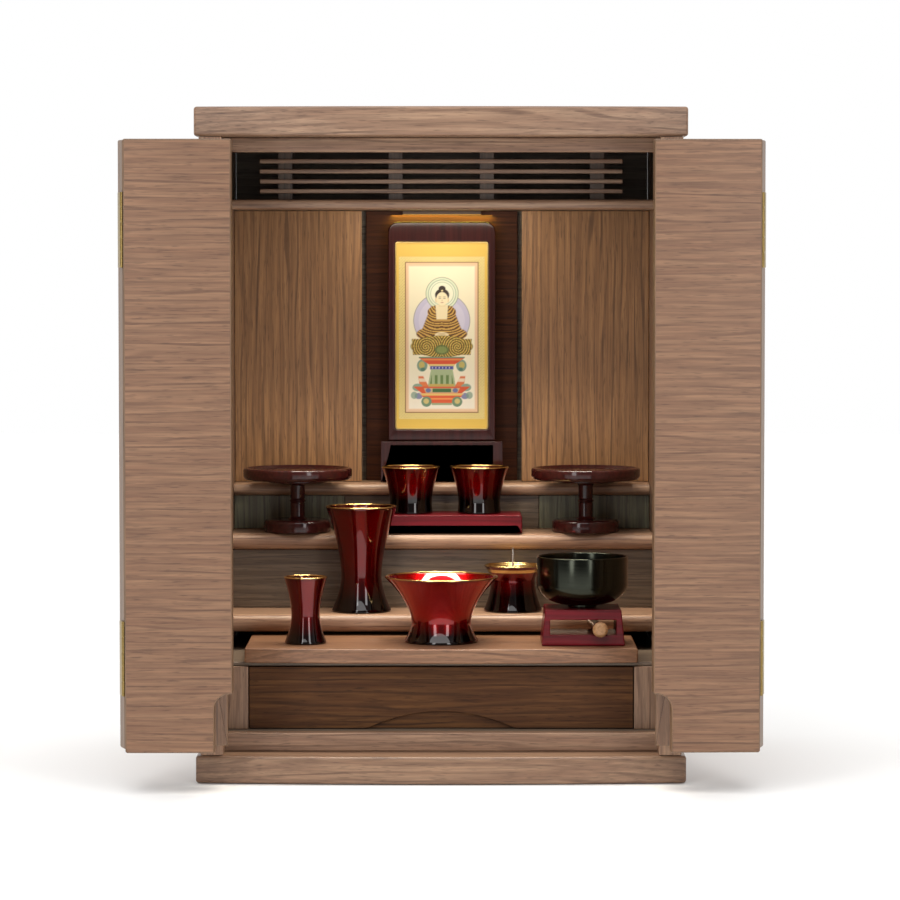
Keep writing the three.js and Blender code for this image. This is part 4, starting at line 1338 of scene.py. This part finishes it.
class ALTAR_OT_bell(bpy.types.Operator):
    """The bronze bowl bell, its crimson stand and the striker in its slot"""

    bl_idname = "altar.bell"
    bl_label = "Bell"

    def execute(self, context):
        lacquer = context.scene.altar_lacquer
        # Cast bronze, turned and darkened: near black with a burnished gleam.
        bronze = metal("burnished_bell_bronze", lacquer.bronze, 0.17, 0.5 * MM)
        low, high = corners_of("bell")
        radius, height = (high[0] - low[0]) / 2 / MM, (high[2] - low[2]) / MM
        foot, base, wall, shoulder = 12.0, 2.0, 2.2, height * 0.42
        turn = np.linspace(0, np.pi / 2, 22)
        spread, climb = np.sin(turn), shoulder * (1 - np.cos(turn))
        outside = np.column_stack([foot + (radius - foot) * spread, base + climb])
        inside = np.column_stack([foot + (radius - wall - foot) * spread, base + wall + climb])
        lip, half = np.linspace(0, np.pi, 11), wall / 2
        over = np.column_stack([radius - half + half * np.cos(lip), height - half + half * np.sin(lip)])
        profile = np.concatenate([
            [(0, 0), (foot - 0.4, 0), (foot, 0.4)], outside, over, inside[::-1], [(0, base + wall)],
        ])
        centre = seat_of(low, high)
        shell = turned(profile * MM, centre, lacquer.sides)
        piece("bell_turned", shell, [bronze], "bell_bronze", "bell", flat=False)

        red = gloss_lacquer("crimson_lacquer_stand", lacquer.crimson, (1, 0, 0), 0.4)
        low, high = corners_of("bell_stand")
        x, lean = (low[0] + high[0]) / 2, 3.1 * MM
        outer = rounded(
            [(low[0], low[2]), (high[0], low[2]), (high[0] - lean, high[2]), (low[0] + lean, high[2])],
            1.2 * MM, 5,
        )
        sill, slot = low[2] + 9 * MM, 27.5 * MM
        inner = rectangle((x - slot, sill), (x + slot, sill + 12.6 * MM), 0.8 * MM, 5)
        shell = framed(outer, inner, low[1], high[1], 0.9 * MM)
        piece("bell_stand_lacquered", shell, [red], "red_lacquer", "bell_stand")

        # Striker: a dark stick with a lacquered head, whose end is bare pale wood.
        pale = veneer(
            "pale_striker_wood", ("#c09468", "#a87a50", "#7c5232"), (0, 1, 0),
            spacing=2 * MM,
        )
        stick = gloss_lacquer("mahogany_lacquer_striker", lacquer.mahogany, (0, 1, 0))
        low, high = corners_of("bell_striker")
        points = points_of("bell_striker")
        r = (high[2] - low[2]) / 2
        near = points[points[:, 1] < low[1] + 2 * MM].mean(0)
        far = points[points[:, 1] > high[1] - 2 * MM].mean(0)
        reach = np.linalg.norm(far - near) / MM
        head, stem = r / MM, 4.75
        corners = [
            (0, 0), (head - 2.2, 0), (head, 2.2), (head, 7.6), (stem, 7.6),
            (stem, reach - 1.4), (stem - 1.4, reach), (0, reach),
        ]
        profile = fillet(corners, [1.2, 1.2, 0.7, 0.3, 1.0, 1.0], 5) * MM
        points, faces = turned(profile, (0, 0, 0), 40, axis="y")
        swing = math.atan2(far[0] - near[0], far[1] - near[1])
        start = np.array([near[0], low[1], (low[2] + high[2]) / 2])
        points = spun(points, -swing) + start

        def zones(middle):
            depth = middle[:, 1] - low[1]
            return np.where(depth < 2.6 * MM, 0, np.where(depth < 8.4 * MM, 1, 2))

        piece(
            "bell_striker_turned", (points, faces), [pale, red, stick], "striker_wood",
            "bell_striker", flat=False, zones=zones,
        )
        return {"FINISHED"}


def area_light(name, place, size, power, tint=(1, 1, 1), turn=(0, 0, 0), spread=math.pi):
    """A rectangular light that shines down until it is turned."""
    lamp = bpy.data.lights.new(name, "AREA")
    lamp.shape = "RECTANGLE"
    lamp.size, lamp.size_y = size
    lamp.energy, lamp.spread, lamp.color = power, spread, tint
    light = bpy.data.objects.new(name, lamp)
    light.location, light.rotation_euler, light.visible_camera = place, turn, False
    bpy.context.scene.collection.objects.link(light)


class ALTAR_OT_stage(bpy.types.Operator):
    """The pale floor, the soft light and the camera"""

    bl_idname = "altar.stage"
    bl_label = "Stage"

    def execute(self, context):
        scene = context.scene
        settings = scene.altar_stage
        scene.view_settings.view_transform = "Standard"
        scene.view_settings.look = "None"
        half, level = 6.0, -0.5 * MM
        corners = [(x * half, y * half, level) for x, y in ((-1, -1), (1, -1), (1, 1), (-1, 1))]
        mesh = bpy.data.meshes.new("floor")
        mesh.from_pydata(corners, [], [(0, 1, 2, 3)])
        # Matt white paper sweep, with a trace of mottling.
        paper, tree, shader = material("white_paper_floor", roughness=0.85)
        place = node(tree, "ShaderNodeTexCoord").outputs["Object"]
        mottle = node(tree, "ShaderNodeTexNoise", {"Vector": place, "Scale": 3.0})
        ramp = node(
            tree,
            "ShaderNodeValToRGB",
            {"Fac": mottle.outputs["Fac"]},
            stops=[(0.3, linear("#f6f6f5")), (0.7, linear("#f8f8f7"))],
        )
        tree.links.new(ramp.outputs["Color"], shader.inputs["Base Color"])
        mesh.materials.append(paper)
        floor = bpy.data.objects.new("floor", mesh)
        scene.collection.objects.link(floor)

        # A white studio that is darker in front, where the strips stand.
        world = bpy.data.worlds.new("white_studio")
        scene.world = world
        world.use_nodes = True
        tree = world.node_tree
        place = node(tree, "ShaderNodeTexCoord").outputs["Generated"]
        parts = node(tree, "ShaderNodeSeparateXYZ", {"Vector": place})
        fall = node(
            tree,
            "ShaderNodeMapRange",
            {
                "Value": parts.outputs["Y"],
                "From Min": -0.75,
                "From Max": 0.1,
                "To Min": settings.front_sky,
                "To Max": 1.0,
            },
            interpolation_type="SMOOTHSTEP",
        )
        sky = tree.nodes["Background"]
        sky.inputs["Color"].default_value = (1, 1, 1, 1)
        tree.links.new(fall.outputs[0], sky.inputs["Strength"])

        # Two strip softboxes, aimed a little down at the cabinet's middle.
        target, reach, angle = np.array([0.0, -0.05, 0.27]), 1.5, settings.strip_angle
        for side, hand in SIDES.items():
            place = target + reach * np.array([hand * math.sin(angle), -math.cos(angle), 0.3])
            turn = (math.radians(90 - 12), 0, hand * angle)
            area_light(f"strip_{side}", place, (0.26, 1.2), settings.strip_power, turn=turn)
        # One broad light high in front.
        sun = bpy.data.lights.new("overhead", "SUN")
        sun.energy, sun.angle = settings.overhead, math.radians(50)
        overhead = bpy.data.objects.new("overhead", sun)
        overhead.rotation_euler = (math.radians(30), 0, math.radians(-8))
        scene.collection.objects.link(overhead)
        # The cabinet's own lamps: over the niche, on the picture and down on the shelves.
        low, high = corners_of("niche_lamp")
        under = ((low[0] + high[0]) / 2, (low[1] + high[1]) / 2, low[2] - 0.5 * MM)
        tint = linear("#fff468")[:3]
        area_light("niche_light", under, (0.09, 0.01), settings.lamp_power, tint)
        low, high = corners_of("picture_frame")
        before = ((low[0] + high[0]) / 2, low[1] - 75 * MM, high[2] + 5 * MM)
        turn, tint = (math.radians(48), 0, 0), linear("#fff4df")[:3]
        area_light("picture_light", before, (0.12, 0.012), settings.picture_power, tint, turn)
        rail_back = corners_of("transom_rail")[1][1]
        ceiling = corners_of("inner_ceiling")[0][2]
        place, tint = (0, rail_back + 18 * MM, ceiling - 1 * MM), linear("#fff6e4")[:3]
        power, spread = settings.shelf_power, math.radians(100)
        area_light("shelf_light", place, (0.32, 0.03), power, tint, spread=spread)

        camera = bpy.data.cameras.new("camera")
        camera.lens, camera.sensor_width = settings.lens, 36.0
        seen = bpy.data.objects.new("camera", camera)
        seen.location = (0.0073, -settings.distance, settings.height)
        seen.rotation_euler = (math.radians(90 - 2.9), 0, 0)
        scene.collection.objects.link(seen)
        scene.camera = seen
        return {"FINISHED"}


class ALTAR_PT_cabinet(bpy.types.Panel):
    """Sizes, finishes and pieces of the altar cabinet"""

    bl_idname = "ALTAR_PT_cabinet"
    bl_label = "Altar cabinet"
    bl_space_type = "VIEW_3D"
    bl_region_type = "UI"
    bl_category = "Altar"

    def draw(self, context):
        for holder in GROUPS:
            box = self.layout.box()
            settings = getattr(context.scene, holder)
            for name in settings.bl_rna.properties.keys():
                if name not in ("rna_type", "name"):
                    box.prop(settings, name)
        for operator in OPERATORS:
            self.layout.operator(operator.bl_idname)


GROUPS = {
    "altar_sizes": CabinetSizes,
    "altar_wood": WoodFinish,
    "altar_lacquer": LacquerFinish,
    "altar_picture": PictureFinish,
    "altar_stage": StageSettings,
}
OPERATORS = (
    ALTAR_OT_boards,
    ALTAR_OT_carcass,
    ALTAR_OT_lattice,
    ALTAR_OT_niche,
    ALTAR_OT_shelves,
    ALTAR_OT_tray,
    ALTAR_OT_doors,
    ALTAR_OT_hinges,
    ALTAR_OT_picture,
    ALTAR_OT_offerings,
    ALTAR_OT_cups,
    ALTAR_OT_vases,
    ALTAR_OT_candle,
    ALTAR_OT_bell,
    ALTAR_OT_stage,
)


def register():
    """Registers the settings, the operators and the panel."""
    for holder, group in GROUPS.items():
        bpy.utils.register_class(group)
        setattr(bpy.types.Scene, holder, PointerProperty(type=group))
    for made in (*OPERATORS, ALTAR_PT_cabinet):
        bpy.utils.register_class(made)


def unregister():
    """Takes back what register added, in the opposite order."""
    for made in (ALTAR_PT_cabinet, *reversed(OPERATORS)):
        bpy.utils.unregister_class(made)
    for holder, group in reversed(GROUPS.items()):
        delattr(bpy.types.Scene, holder)
        bpy.utils.unregister_class(group)


def main():
    """Builds every piece in order."""
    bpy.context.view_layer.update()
    register()
    for operator in OPERATORS:
        group, name = operator.bl_idname.split(".")
        getattr(getattr(bpy.ops, group), name)()


if __name__ == "__main__":
    main()
